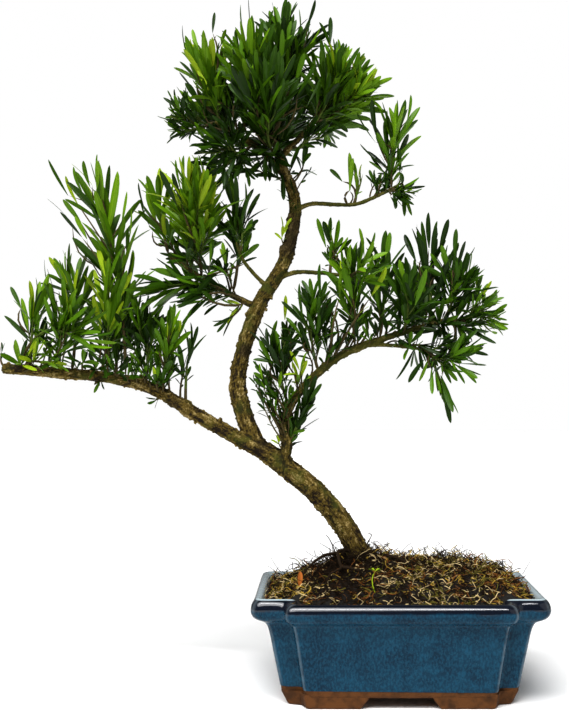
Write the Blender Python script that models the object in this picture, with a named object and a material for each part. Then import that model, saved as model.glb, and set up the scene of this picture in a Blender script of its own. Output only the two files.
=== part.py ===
"""A potted bonsai: a leaning trunk with its boughs, its sprays of strap leaves, and a glazed notched pot.

The pot's centre line is the Z axis while the pieces are made, and the table is z = 0. At the end everything
hangs on one empty, which moves the origin under the middle of the whole object.
"""

import math
import random
from dataclasses import dataclass

import bmesh
import bpy
from mathutils import Matrix, Vector
from mathutils.bvhtree import BVHTree

MM = 0.001
GAP = 0.3 * MM
SEED = 7
GOLDEN_ANGLE = math.radians(137.5)

# Finishes: base colour, roughness and clear coat.
GLAZE = ((0.02, 0.06, 0.13), 0.12, 0.6)
BARE_CLAY = ((0.23, 0.09, 0.05), 0.8, 0.0)
EARTH = ((0.07, 0.045, 0.02), 0.95, 0.0)
BARK = ((0.19, 0.12, 0.06), 0.85, 0.0)
FOLIAGE = ((0.05, 0.16, 0.03), 0.4, 0.0)

# Pot: outer size over the lip, and its rounded corners.
RIM_HALF_X = 101 * MM
RIM_HALF_Y = 75 * MM
CONVEX_RADIUS = 5 * MM
CONCAVE_RADIUS = 4 * MM
ARC_STEPS = 2
FLOOR_Z = 18 * MM
SHOULDER_Z = 58 * MM
# Each ring, up the outside, over the rolled lip and down the inside: its height, how far it lies in from the
# lip along X and along Y, and the corner notch along X and along Y, in mm.
POT_PROFILE = (
    (12.0, 19.8, 12.6, 15.6, 12.4),
    (25.0, 17.2, 11.2, 16.2, 12.4),
    (40.0, 14.3, 9.6, 16.9, 12.3),
    (50.0, 12.4, 8.2, 17.4, 12.1),
    (55.5, 10.2, 6.8, 18.3, 12.0),
    (57.6, 6.6, 4.6, 20.2, 11.8),
    (59.4, 2.6, 2.0, 22.2, 11.6),
    (63.0, 0.4, 0.4, 23.4, 11.5),
    (68.5, 0.1, 0.1, 23.5, 11.5),
    (71.8, 1.4, 1.4, 23.5, 11.5),
    (73.0, 4.2, 4.2, 23.5, 11.5),
    (72.4, 7.0, 7.0, 23.5, 11.5),
    (70.0, 8.8, 8.8, 23.5, 11.5),
    (58.0, 14.5, 12.0, 20.0, 12.0),
    (18.0, 24.0, 17.5, 17.0, 12.0),
)
# The rows of it that make the bowl's inner wall.
INNER_ROWS = 3

# Bare clay under the glaze: a slab, and a block with sloping sides near each corner.
SLAB_PROFILE = (
    (6.5, 21.4, 13.4, 15.6, 12.4),
    (11.7, 20.1, 12.9, 15.6, 12.4),
)
FOOT_TOP_X = (19.6 * MM, 75 * MM)
FOOT_TOP_Y = (38 * MM, 61.6 * MM)
FOOT_SLOPE_INNER_X = 6.2 * MM
FOOT_SLOPE_OUTER_X = 12.2 * MM
FOOT_SLOPE_INNER_Y = 6 * MM
FOOT_SLOPE_OUTER_Y = 0.6 * MM
FOOT_TOP_Z = 8.5 * MM
FOOT_INSET = 0.5 * MM

# Soil: it fills the pot up to the wall line, then rises to a low mound.
SOIL_EDGE_Z = 68.5 * MM
MOUND_Z = 88 * MM
MOUND_CENTRE = Vector((4 * MM, 0.0))
MOUND_RINGS = 3
MOUND_CORE = 0.12
GROUND_Z = 84 * MM
SEAT_RADIUS = 27 * MM
SEAT_SIDES = 20

# Limbs: stations of x, y, z and thickness in mm. Each starts inside its parent and is cut clear of it.
# The exact solver loses limbs whose walls meet at a slant, so they take the manifold one.
LIMB_SOLVER = "MANIFOLD"
LIMB_STEP = 10 * MM
THICK_LIMB = 7 * MM
WELD = 0.01 * MM
# Roots that flare from the trunk's foot: azimuth in degrees and reach in mm, then radii and heights over the
# ground as shares of a root's thickness, at its top, knee and end.
ROOT_FLARE = ((-172, 25), (-118, 21), (-35, 22), (62, 20), (128, 18))
ROOT_THICKNESS = 7 * MM
ROOT_RISE = 12 * MM
ROOT_RADII = (0.6, 0.5, 0.25)
ROOT_KNEE = 0.55
ROOT_KNEE_HEIGHT = 0.25
ROOT_END_DEPTH = 0.3

# Leaves and twigs.
LEAF_LENGTH = 36 * MM
LEAF_LENGTH_RANGE = (0.86, 1.06)
LEAF_MOST = 0.7
LEAF_TRY_SHRINK = 0.06
LEAF_WIDTH = 8.6 * MM
LEAF_ROOT = 0.4 * MM
LEAF_THICKNESS = 0.8 * MM
LEAF_WIDEST = 0.55
LEAF_DEEPEST = 0.14
LEAF_SPACING = 4.4 * MM
LEAF_ANGLE_LOW = math.radians(56)
LEAF_ANGLE_HIGH = math.radians(26)
LEAF_JITTER = math.radians(9)
LEAF_ROLL = math.radians(40)
LEAF_TRIES = 5
LEAF_NECK = 0.12
LEAF_CLEARANCE = 0.35 * MM
STEM_RADIUS = 1.5 * MM
STEM_KNEE_RADII = (1.2 * MM, 1.14 * MM)
STEM_TIP_RADIUS = 0.95 * MM
STEM_BOW = 0.06
STEM_TRIES = 12
STEM_BARE = 0.1
TWIG_RADIUS = 0.85 * MM
TWIG_TIP_RADIUS = 0.8 * MM
TWIG_ANGLE = math.radians(42)
TWIG_RISE = 0.35
TWIG_LEAST = 10 * MM
TWIG_LENGTH_RANGE = (0.9, 1.1)
TWIG_FIRST = 0.3
TWIG_LAST = 0.9
TWIG_BARE = 0.5
TWIG_CLEAR_START = 3 * STEM_RADIUS
LEAFY_END = 0.97
# A mass's space is an ellipsoid: its centre and half length as shares of the way from its foot to its tip.
SPACE_CENTRE = 0.52
SPACE_HALF = 0.49


@dataclass(frozen=True)
class Limb:
    """One tapering limb, with its stations in mm and the limbs that it is cut clear of."""

    name: str
    stations: tuple
    parents: tuple = ()


@dataclass(frozen=True)
class Mass:
    """One mass of foliage: its limb, how far along it stands, its furthest tip and its reach, in mm."""

    name: str
    limb: str
    share: float
    tip: tuple
    reach: float
    twigs: int = 0


LIMBS = (
    Limb(
        "trunk",
        (
            (-19.6, 1, 73, 25),
            (-21.6, 0, 84, 20.5),
            (-27.6, -1, 97, 17),
            (-35.6, -2, 113, 16.2),
            (-50.6, -3, 132, 16),
            (-65.6, -3, 146.5, 15.6),
            (-95.6, -2, 170, 14.6),
        ),
    ),
    Limb(
        "leader",
        (
            (-88.6, -2, 164, 13.5),
            (-100.6, -1, 175, 13.6),
            (-111.6, 2, 203, 13),
            (-113.1, 3, 222, 12),
            (-109.6, 3, 240, 11.4),
            (-98.6, 0, 272, 11),
            (-80.6, -3, 302, 10.2),
            (-72.6, 0, 336, 9.4),
            (-74.1, 1, 354, 8.4),
            (-82.6, 0, 375, 7),
            (-87.6, 0, 397, 4.4),
        ),
        ("trunk",),
    ),
    Limb(
        "left_bough",
        (
            (-89.6, -3, 165, 11.5),
            (-111.6, -5, 177, 11),
            (-147.6, -9, 198, 9.7),
            (-165.6, -10, 209.5, 9.2),
            (-183.6, -11, 216.5, 8.7),
            (-208.6, -12, 221.5, 8),
            (-240.6, -13, 224.4, 7.8),
            (-278.6, -14, 227.4, 7.5),
        ),
        ("trunk", "leader"),
    ),
    Limb(
        "right_bough",
        (
            (-81.6, -5, 157, 9.5),
            (-77.6, -8, 175, 8),
            (-80.1, -9, 189, 7.1),
            (-68.6, -11, 211, 6.4),
            (-40.6, -13, 236, 5.7),
            (-4.6, -14, 250, 4.8),
            (39.4, -12, 262.5, 3.6),
        ),
        ("trunk",),
    ),
    Limb(
        "low_right_branch",
        ((-22.6, -13, 244, 3.4), (2.4, -18, 243, 2.9), (31.4, -21, 238, 2.3)),
        ("right_bough",),
    ),
    Limb(
        "left_upper_branch",
        ((-98.6, 1, 271, 5.6), (-111.6, 6, 277, 4.9), (-140.6, 10, 293, 4.3), (-165.6, 12, 311, 3.2)),
        ("leader",),
    ),
    Limb(
        "left_twig",
        ((-90.6, -2, 284, 3.4), (-107.6, -9, 302, 2.8), (-113.6, -12, 317, 2.3)),
        ("leader",),
    ),
    Limb(
        "mid_right_branch",
        ((-87.6, -2, 290, 4), (-68.6, -6, 296, 3.3), (-36.6, -9, 293, 2.6)),
        ("leader",),
    ),
    Limb(
        "upper_right_branch",
        (
            (-72.6, 0, 340, 4),
            (-59.6, -2, 345, 3.4),
            (-32.6, -4, 344, 3),
            (-18.6, -5, 348, 2.9),
            (2.4, -6, 358, 2.4),
        ),
        ("leader",),
    ),
    Limb("crown_left_limb", ((-80.6, 0, 366, 5), (-99.6, -5, 385, 4.3), (-129.6, -7, 403, 3.2)), ("leader",)),
    Limb("crown_right_limb", ((-83.6, 0, 378, 5), (-65.6, -5, 395, 4.3), (-47.6, -7, 416, 3.2)), ("leader",)),
)

MASSES = (
    Mass("left_stub_spray", "left_bough", 0.95, (-193, -50, 256), 24, 2),
    Mass("left_end_spray", "left_bough", 0.9, (-253, -12, 295), 24, 2),
    Mass("left_outer_spray", "left_bough", 0.76, (-231, 14, 315), 27, 2),
    Mass("left_centre_spray", "left_bough", 0.66, (-200.6, -18, 311), 27, 2),
    Mass("left_tall_spray", "left_bough", 0.57, (-218, 6, 381), 31, 3),
    Mass("left_front_spray", "left_bough", 0.8, (-228, -38, 288), 25, 2),
    Mass("left_back_spray", "left_bough", 0.6, (-201.6, 46, 285), 31, 2),
    Mass("left_inner_spray", "left_bough", 0.5, (-179.6, -14, 279), 25, 2),
    Mass("left_near_spray", "left_bough", 0.43, (-156, -34, 269), 25, 1),
    Mass("left_thin_spray", "left_bough", 0.34, (-147, -8, 258), 19, 1),
    Mass("upper_left_end_spray", "left_upper_branch", 0.98, (-180, 10, 373), 27, 2),
    Mass("upper_left_tall_spray", "left_upper_branch", 0.6, (-145, -22, 373), 38, 3),
    Mass("upper_left_side_spray", "left_upper_branch", 0.16, (-189, -30, 289), 27, 2),
    Mass("upper_left_inner_spray", "left_upper_branch", 0.28, (-113.6, 12, 371), 25, 2),
    Mass("upper_left_back_spray", "left_upper_branch", 0.76, (-147.6, 56, 346), 32, 2),
    Mass("left_twig_spray", "left_twig", 0.8, (-107.6, -16, 337), 18, 1),
    Mass("mid_right_high_spray", "mid_right_branch", 0.8, (-42, 4, 332), 25, 2),
    Mass("mid_right_end_spray", "mid_right_branch", 1.0, (-15.6, -50, 302), 26, 2),
    Mass("upper_right_near_spray", "upper_right_branch", 0.55, (-26, 2, 373), 23, 1),
    Mass("upper_right_tall_spray", "upper_right_branch", 0.92, (1, -8, 422), 19, 2),
    Mass("upper_right_end_spray", "upper_right_branch", 0.93, (15, -18, 350), 16, 1),
    Mass("upper_right_back_spray", "upper_right_branch", 0.8, (4, 22, 408), 24, 2),
    Mass("right_low_spray", "right_bough", 0.07, (-54, -22, 222), 17, 1),
    Mass("right_inner_spray", "right_bough", 0.25, (-87.6, -8, 261), 30, 3),
    Mass("right_rising_spray", "right_bough", 0.43, (-65.6, -28, 287), 32, 3),
    Mass("right_tall_spray", "right_bough", 0.6, (-32.6, 8, 322), 24, 2),
    Mass("right_middle_spray", "right_bough", 0.7, (-7.6, 8, 323), 26, 2),
    Mass("right_front_spray", "right_bough", 0.79, (10.4, -46, 302), 25, 2),
    Mass("right_crest_spray", "right_bough", 0.9, (23.4, 4, 333), 27, 3),
    Mass("right_shoulder_spray", "right_bough", 0.96, (52, -24, 309), 29, 2),
    Mass("right_end_spray", "right_bough", 1.0, (72.6, -8, 277), 29, 3),
    Mass("right_back_spray", "right_bough", 0.84, (18.4, 42, 292), 28, 2),
    Mass("right_droop_side_spray", "low_right_branch", 0.78, (56, -40, 233), 26, 3),
    Mass("right_droop_low_spray", "low_right_branch", 0.86, (40, -22, 193), 29, 2),
    Mass("crown_left_low_spray", "crown_left_limb", 1.0, (-162, -16, 401), 30, 3),
    Mass("crown_left_high_spray", "crown_left_limb", 0.88, (-143, 6, 464), 34, 4),
    Mass("crown_left_under_spray", "crown_left_limb", 0.5, (-135.6, -34, 376), 30, 2),
    Mass("crown_left_back_spray", "crown_left_limb", 0.66, (-141.6, 54, 424), 36, 3),
    Mass("crown_top_left_spray", "leader", 1.0, (-115, -14, 470), 36, 4),
    Mass("crown_top_spray", "leader", 0.968, (-75, 8, 489), 37, 4),
    Mass("crown_front_spray", "leader", 0.935, (-93.6, -74, 424), 38, 4),
    Mass("crown_back_spray", "leader", 0.95, (-85.6, 78, 430), 38, 4),
    Mass("crown_right_high_spray", "crown_right_limb", 0.6, (-30, -20, 452), 31, 3),
    Mass("crown_right_side_spray", "crown_right_limb", 0.7, (-12, 2, 436), 35, 4),
    Mass("crown_right_under_spray", "crown_right_limb", 0.25, (-49, -36, 393), 25, 2),
    Mass("crown_right_back_spray", "crown_right_limb", 0.64, (-33.6, 56, 432), 35, 3),
)


def clear_scene():
    """Remove whatever the scene holds at the start."""
    for old in list(bpy.data.objects):
        bpy.data.objects.remove(old, do_unlink=True)


def new_collection(name):
    """Make a collection in the scene."""
    made = bpy.data.collections.new(name)
    bpy.context.scene.collection.children.link(made)
    return made


def material(owner, finish):
    """Make an object's own Principled material from a finish."""
    colour, roughness, coat = finish
    made = bpy.data.materials.new(owner + "_finish")
    made.use_nodes = True
    shader = made.node_tree.nodes["Principled BSDF"]
    shader.inputs["Base Color"].default_value = (*colour, 1.0)
    shader.inputs["Roughness"].default_value = roughness
    shader.inputs["Metallic"].default_value = 0.0
    shader.inputs["Coat Weight"].default_value = coat
    return made


def add_object(name, mesh, collection, finish=None):
    """Put a mesh in a collection as a new object, with a material of its own where it has a finish."""
    made = bpy.data.objects.new(name, mesh)
    if finish is not None:
        mesh.materials.append(material(name, finish))
    collection.objects.link(made)
    return made


def mesh_from(bm, name):
    """Turn a bmesh into a mesh with its faces pointing out."""
    bmesh.ops.recalc_face_normals(bm, faces=bm.faces)
    mesh = bpy.data.meshes.new(name)
    bm.to_mesh(mesh)
    bm.free()
    return mesh


def boolean(target, operation, other, solver="EXACT"):
    """Add a Boolean of an object or of a whole collection to a target."""
    modifier = target.modifiers.new(operation.lower(), "BOOLEAN")
    modifier.operation = operation
    modifier.solver = solver
    if isinstance(other, bpy.types.Collection):
        modifier.operand_type = "COLLECTION"
        modifier.collection = other
    else:
        modifier.object = other
    return modifier


def evaluated_mesh(source):
    """The mesh that an object has once its modifiers have run."""
    graph = bpy.context.evaluated_depsgraph_get()
    return bpy.data.meshes.new_from_object(source.evaluated_get(graph))


def apply_modifiers(target):
    """Keep the evaluated mesh as the object's own."""
    mesh = evaluated_mesh(target)
    target.modifiers.clear()
    target.data = mesh


def arc(centre, radius, start, end):
    """Points along an arc in degrees, its ends included."""
    angles = [math.radians(start + (end - start) * i / ARC_STEPS) for i in range(ARC_STEPS + 1)]
    return [Vector((centre[0] + radius * math.cos(a), centre[1] + radius * math.sin(a))) for a in angles]


def notched_outline(row, gap=0.0):
    """The pot's plan of one profile row, drawn in by a gap: a rectangle with stepped-in, rounded corners."""
    _, inset_x, inset_y, notch_x, notch_y = (value * MM for value in row)
    half_x, half_y = RIM_HALF_X - inset_x - gap, RIM_HALF_Y - inset_y - gap
    lug_y, run_x = half_y - notch_y, half_x - notch_x
    out, into = CONVEX_RADIUS, CONCAVE_RADIUS
    quarter = arc((half_x - out, lug_y - out), out, 0, 90)
    quarter += arc((run_x + into, lug_y + into), into, 270, 180)
    quarter += arc((run_x - out, half_y - out), out, 0, 90)
    half = quarter + [Vector((-p.x, p.y)) for p in reversed(quarter)]
    return half + [-p for p in half]


def ring(row, gap=0.0):
    """The notched plan of one profile row, at its height."""
    return [Vector((p.x, p.y, row[0] * MM)) for p in notched_outline(row, gap)]


def loft(name, rings):
    """A closed solid through rings of the same number of points."""
    bm = bmesh.new()
    loops = [[bm.verts.new(point) for point in points] for points in rings]
    for lower, upper in zip(loops, loops[1:]):
        for i, corner in enumerate(lower):
            following = (i + 1) % len(lower)
            bm.faces.new((corner, lower[following], upper[following], upper[i]))
    bm.faces.new(loops[0])
    bm.faces.new(loops[-1])
    return mesh_from(bm, name)


def build_pot(parts):
    """The glazed bowl, in one run from its underside over the lip to its floor."""
    rings = [ring(row) for row in POT_PROFILE]
    return add_object("pot", loft("pot", rings), parts, GLAZE)


def build_notch_cutter(helpers):
    """A block that fills the slab's stepped-in corner, from below the feet to within the slab."""
    _, inset_x, inset_y, notch_x, notch_y = (value * MM for value in SLAB_PROFILE[0])
    run_x = RIM_HALF_X - inset_x - notch_x - FOOT_INSET
    lug_y = RIM_HALF_Y - inset_y - notch_y - FOOT_INSET
    bm = bmesh.new()
    place = Matrix.Translation((run_x + notch_x, lug_y + notch_y, 0.0)) @ Matrix.Diagonal(
        (2 * notch_x, 2 * notch_y, 4 * FOOT_TOP_Z, 1.0)
    )
    bmesh.ops.create_cube(bm, size=1.0, matrix=place)
    return add_object("notch_cutter", mesh_from(bm, "notch_cutter"), helpers)


def build_foot(helpers):
    """The foot of the +X, +Y corner: a box whose underside is smaller than its top, clear of the notch."""
    bm = bmesh.new()
    bmesh.ops.create_cube(bm, size=1.0)
    for corner in bm.verts:
        inner_x, outer_y, lower = corner.co.x < 0, corner.co.y > 0, corner.co.z < 0
        x = FOOT_TOP_X[0] if inner_x else FOOT_TOP_X[1]
        y = FOOT_TOP_Y[1] if outer_y else FOOT_TOP_Y[0]
        if lower:
            x += FOOT_SLOPE_INNER_X if inner_x else -FOOT_SLOPE_OUTER_X
            y += -FOOT_SLOPE_OUTER_Y if outer_y else FOOT_SLOPE_INNER_Y
        corner.co = (x, y, 0.0 if lower else FOOT_TOP_Z)
    foot = add_object("foot", mesh_from(bm, "foot"), helpers)
    boolean(foot, "DIFFERENCE", build_notch_cutter(helpers))
    apply_modifiers(foot)
    return foot


def build_pot_base(parts, helpers):
    """The bare clay under the glaze: the slab, with its four feet joined on."""
    slab = [ring(row) for row in SLAB_PROFILE]
    base = add_object("pot_base", loft("pot_base", slab), parts, BARE_CLAY)
    feet = bpy.data.collections.new("feet")
    helpers.children.link(feet)
    first = build_foot(helpers)
    for side_x in (-1, 1):
        for side_y in (-1, 1):
            bm = bmesh.new()
            bm.from_mesh(first.data)
            bmesh.ops.scale(bm, vec=(side_x, side_y, 1.0), verts=bm.verts)
            add_object("foot", mesh_from(bm, "foot"), feet)
    bpy.data.objects.remove(first, do_unlink=True)
    fuse(base, feet, "EXACT")
    return base


def inside_row(z):
    """The plan of the bowl's inner wall at a height, as a profile row."""
    height = z / MM
    wall = POT_PROFILE[-INNER_ROWS:]
    for upper, lower in zip(wall, wall[1:]):
        if height >= lower[0]:
            break
    share = (height - lower[0]) / (upper[0] - lower[0])
    return tuple(low + (high - low) * share for low, high in zip(lower, upper))


def build_soil(parts, helpers):
    """The soil: it follows the bowl's inside, then domes up, with a flat seat for the trunk."""
    rings = [ring(inside_row(z), GAP) for z in (FLOOR_Z + GAP, SHOULDER_Z, SOIL_EDGE_Z)]
    edge = rings[-1]
    for i in range(1, MOUND_RINGS + 1):
        shrink = 1 - (1 - MOUND_CORE) * i / MOUND_RINGS
        rise = SOIL_EDGE_Z + (MOUND_Z - SOIL_EDGE_Z) * (1 - shrink**2)
        rings.append([Vector((*MOUND_CENTRE.lerp(p.xy, shrink), rise)) for p in edge])
    soil = add_object("soil", loft("soil", rings), parts, EARTH)
    bm = bmesh.new()
    foot = Vector(LIMBS[0].stations[1][:2]) * MM
    place = Matrix.Translation((foot.x, foot.y, GROUND_Z - GAP + MOUND_Z / 2))
    bmesh.ops.create_cone(
        bm,
        cap_ends=True,
        segments=SEAT_SIDES,
        radius1=SEAT_RADIUS,
        radius2=SEAT_RADIUS,
        depth=MOUND_Z,
        matrix=place,
    )
    cutter = add_object("seat_cutter", mesh_from(bm, "seat_cutter"), helpers)
    boolean(soil, "DIFFERENCE", cutter)
    return soil


def smooth_route(stations):
    """Points and radii along a smooth curve through a limb's stations."""
    knots = [(Vector(s[:3]) * MM, s[3] * MM / 2) for s in stations]
    padded = [knots[0], *knots, knots[-1]]
    route = []
    for before, start, end, after in zip(padded, padded[1:], padded[2:], padded[3:]):
        steps = max(1, round((end[0] - start[0]).length / LIMB_STEP))
        for i in range(steps):
            t = i / steps
            bend = (
                (2 * start[0])
                + (end[0] - before[0]) * t
                + (2 * before[0] - 5 * start[0] + 4 * end[0] - after[0]) * t**2
                + (3 * start[0] - before[0] - 3 * end[0] + after[0]) * t**3
            ) / 2
            route.append((bend, start[1] + (end[1] - start[1]) * t))
    return route + [knots[-1]]


def tube_mesh(name, route, extra, collection):
    """The mesh of a tapering tube along a route, made thicker and longer by an extra amount."""
    curve = bpy.data.curves.new(name, "CURVE")
    curve.dimensions = "3D"
    curve.bevel_depth = 1.0
    curve.bevel_resolution = 2 if route[0][1] > THICK_LIMB / 2 else 1
    curve.use_fill_caps = True
    ends = [route[0][0] - route[1][0], route[-1][0] - route[-2][0]]
    points = [centre for centre, _ in route]
    points[0] = points[0] + ends[0].normalized() * extra
    points[-1] = points[-1] + ends[1].normalized() * extra
    spline = curve.splines.new("POLY")
    spline.points.add(len(points) - 1)
    for place, centre, (_, radius) in zip(spline.points, points, route):
        place.co = (*centre, 1.0)
        place.radius = radius + extra
    bar = bpy.data.objects.new(name, curve)
    collection.objects.link(bar)
    mesh = evaluated_mesh(bar)
    bpy.data.objects.remove(bar)
    bm = bmesh.new()
    bm.from_mesh(mesh)
    bmesh.ops.remove_doubles(bm, verts=bm.verts, dist=WELD)
    return mesh_from(bm, name)


def root_routes():
    """The surface roots that flare from the trunk's foot: from inside it, down and out past the ground."""
    foot = Vector(LIMBS[0].stations[1][:3]) * MM
    for azimuth, reach in ROOT_FLARE:
        away = Vector((math.cos(math.radians(azimuth)), math.sin(math.radians(azimuth)), 0.0))
        top = Vector((foot.x, foot.y, GROUND_Z + ROOT_RISE))
        knee = foot + away * reach * MM * ROOT_KNEE
        knee.z = GROUND_Z + ROOT_THICKNESS * ROOT_KNEE_HEIGHT
        end = foot + away * reach * MM
        end.z = GROUND_Z - ROOT_THICKNESS * ROOT_END_DEPTH
        yield [(place, ROOT_THICKNESS * share) for place, share in zip((top, knee, end), ROOT_RADII)]


def build_limbs(parts, helpers):
    """Every limb as a tube, each cut clear of its parents. The trunk gets its roots and a flat foot."""
    clearances = {}
    for limb in LIMBS:
        route = smooth_route(limb.stations)
        made = add_object(limb.name, tube_mesh(limb.name, route, 0.0, parts), parts, BARK)
        inflated = tube_mesh(limb.name + "_clearance", route, GAP, helpers)
        clearances[limb.name] = add_object(limb.name + "_clearance", inflated, helpers)
        for parent in limb.parents:
            boolean(made, "DIFFERENCE", clearances[parent], LIMB_SOLVER)
        if limb.name == "trunk":
            roots = bpy.data.collections.new("roots")
            helpers.children.link(roots)
            for root in root_routes():
                add_object("root", tube_mesh("root", root, 0.0, helpers), roots)
            fuse(made, roots)
            bm = bmesh.new()
            bmesh.ops.create_cube(bm, size=2 * GROUND_Z)
            below = add_object("ground_cutter", mesh_from(bm, "ground_cutter"), helpers)
            boolean(made, "DIFFERENCE", below, LIMB_SOLVER)
        apply_modifiers(made)
        keep_body(made.data)
    return clearances


def shell_volume(faces):
    """The signed volume within a set of faces."""
    total = 0.0
    for face in faces:
        first, *rest = [corner.co for corner in face.verts]
        for second, third in zip(rest, rest[1:]):
            total += first.dot(second.cross(third)) / 6
    return total


def keep_body(mesh):
    """Drop every shell but the one that holds the most: loose scraps, and hollows that the joining sealed."""
    bm = bmesh.new()
    bm.from_mesh(mesh)
    left = set(bm.faces)
    shells = []
    while left:
        start = left.pop()
        shell, edge_of_shell = [start], [start]
        while edge_of_shell:
            face = edge_of_shell.pop()
            for edge in face.edges:
                for beside in edge.link_faces:
                    if beside in left:
                        left.remove(beside)
                        shell.append(beside)
                        edge_of_shell.append(beside)
        shells.append(shell)
    shells.sort(key=shell_volume)
    scraps = [face for shell in shells[:-1] for face in shell]
    bmesh.ops.delete(bm, geom=scraps, context="FACES")
    bm.to_mesh(mesh)
    bm.free()


def fuse(target, pieces, solver=LIMB_SOLVER):
    """Join a collection's objects to a target with one Boolean union, then remove them."""
    boolean(target, "UNION", pieces, solver)
    apply_modifiers(target)
    keep_body(target.data)
    for piece in list(pieces.objects):
        bpy.data.objects.remove(piece, do_unlink=True)
    bpy.data.collections.remove(pieces)


def leaf_points(length, width, grow=0.0, start=0.0):
    """A leaf's six corners, along +X with its face up: two at its root, its keel, two widest and its tip."""
    root = LEAF_ROOT + (width / 2 - LEAF_ROOT) * start / LEAF_WIDEST + grow
    side = width / 2 + grow
    return [
        Vector((length * start, root, grow)),
        Vector((length * start, -root, grow)),
        Vector((length * LEAF_DEEPEST, 0.0, -LEAF_THICKNESS - grow)),
        Vector((length * LEAF_WIDEST, side, grow)),
        Vector((length * LEAF_WIDEST, -side, grow)),
        Vector((length + grow, 0.0, 0.0)),
    ]


def hull_mesh(name, points):
    """The convex solid round some points."""
    bm = bmesh.new()
    for point in points:
        bm.verts.new(point)
    bmesh.ops.convex_hull(bm, input=bm.verts)
    return mesh_from(bm, name)


def twig_mesh(name, start, end, radius_start, radius_end):
    """A three-sided twig between two points."""
    run = end - start
    place = Matrix.Translation((start + end) / 2) @ run.to_track_quat("Z", "X").to_matrix().to_4x4()
    bm = bmesh.new()
    bmesh.ops.create_cone(
        bm,
        cap_ends=True,
        segments=3,
        radius1=radius_start,
        radius2=radius_end,
        depth=run.length,
        matrix=place,
    )
    return mesh_from(bm, name)


def tree_of(mesh):
    """The search tree of a mesh's faces."""
    return BVHTree.FromPolygons([v.co for v in mesh.vertices], [tuple(p.vertices) for p in mesh.polygons])


class Space:
    """The egg-shaped space that one mass keeps to, from its foot to its tip."""

    def __init__(self, foot, tip, reach):
        self.centre = foot.lerp(tip, SPACE_CENTRE)
        self.axis = (tip - foot).normalized()
        self.half_length = (tip - foot).length * SPACE_HALF
        self.reach = reach

    def holds(self, point):
        """Whether a point lies within the space."""
        away = point - self.centre
        along = away.dot(self.axis)
        across = (away - along * self.axis).length
        return (along / self.half_length) ** 2 + (across / self.reach) ** 2 <= 1.0


def perpendicular(axis, azimuth):
    """The direction square to an axis at an azimuth round it."""
    side = axis.orthogonal().normalized()
    return Matrix.Rotation(azimuth, 3, axis) @ side


def leaf_placement(root, axis, azimuth, angle, roll):
    """The matrix of a leaf that leaves a twig at an angle, its face to the twig's tip, rolled a little."""
    out = perpendicular(axis, azimuth)
    along = axis * math.cos(angle) + out * math.sin(angle)
    face = (axis - along * axis.dot(along)).normalized()
    across = face.cross(along)
    turned = Matrix((along, across, face)).transposed().to_4x4()
    return Matrix.Translation(root) @ turned @ Matrix.Rotation(roll, 4, "X")


class Grower:
    """Grows one mass: its stem, its twigs and their leaves, each kept to the space and clear of all else."""

    def __init__(self, space, leaf_length, neighbours, dice, pieces):
        self.space = space
        self.leaf_length = leaf_length
        self.neighbours = neighbours
        self.dice = dice
        self.pieces = pieces
        self.taken = []

    def is_clear(self, shape, own=None):
        """Whether a shape touches no limb, no finished mass and nothing of this one but its own twig."""
        return not any(shape.overlap(other) for other in self.neighbours + self.taken if other is not own)

    def add_leaf(self, root, axis, azimuth, angle, twig):
        """Put a leaf on in the first of a few ways that keeps to the space and touches nothing."""
        for attempt in range(LEAF_TRIES):
            shrink = 1 - LEAF_TRY_SHRINK * attempt
            length = self.leaf_length * self.dice.uniform(*LEAF_LENGTH_RANGE) * shrink
            width = LEAF_WIDTH * (length / LEAF_LENGTH) ** 0.5
            aside, tilt, roll = (self.dice.uniform(-1, 1) for _ in range(3))
            turned = azimuth + aside * attempt * LEAF_JITTER
            place = leaf_placement(root, axis, turned, angle + tilt * LEAF_JITTER, roll * LEAF_ROLL)
            corners = [place @ point for point in leaf_points(length, width)]
            if not all(self.space.holds(corner) for corner in corners[3:]):
                continue
            blade = tree_of(
                hull_mesh("blade", [place @ p for p in leaf_points(length, width, LEAF_CLEARANCE, LEAF_NECK)])
            )
            if self.is_clear(blade, twig):
                self.taken.append(blade)
                add_object("leaf", hull_mesh("leaf", corners), self.pieces)
                return

    def add_leaves(self, start, end, bare, twig):
        """Leaves in a spiral up a twig, from wide open low down to nearly upright round its tip."""
        run = end - start
        axis = run.normalized()
        count = max(2, round(run.length * (1 - bare) / LEAF_SPACING))
        turn = self.dice.uniform(0, math.tau)
        for i in range(count):
            share = i / (count - 1)
            root = start.lerp(end, bare + (1 - bare) * share * LEAFY_END)
            angle = LEAF_ANGLE_LOW + (LEAF_ANGLE_HIGH - LEAF_ANGLE_LOW) * share
            self.add_leaf(root, axis, turn + i * GOLDEN_ANGLE, angle, twig)
        self.add_leaf(end - axis * TWIG_RADIUS, axis, turn + count * GOLDEN_ANGLE, LEAF_JITTER, twig)

    def add_twig(self, start, axis, azimuth, length):
        """A side twig that leaves the stem and rises, with its leaves, unless it would leave the space."""
        out = axis * math.cos(TWIG_ANGLE) + perpendicular(axis, azimuth) * math.sin(TWIG_ANGLE)
        direction = (out + Vector((0, 0, TWIG_RISE))).normalized()
        end = start + direction * length
        clear_start = start + direction * TWIG_CLEAR_START
        shape = tree_of(twig_mesh("test", clear_start, end, TWIG_RADIUS + GAP, TWIG_TIP_RADIUS + GAP))
        if self.space.holds(end) and self.is_clear(shape):
            self.taken.append(shape)
            add_object("twig", twig_mesh("twig", start, end, TWIG_RADIUS, TWIG_TIP_RADIUS), self.pieces)
            self.add_leaves(start, end, TWIG_BARE, shape)


def point_along(route, share):
    """The point at a share of a limb's length."""
    lengths = [(b[0] - a[0]).length for a, b in zip(route, route[1:])]
    left = share * sum(lengths)
    for (start, _), (end, _), length in zip(route, route[1:], lengths):
        if left <= length:
            return start.lerp(end, left / length)
        left -= length
    return route[-1][0]


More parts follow.
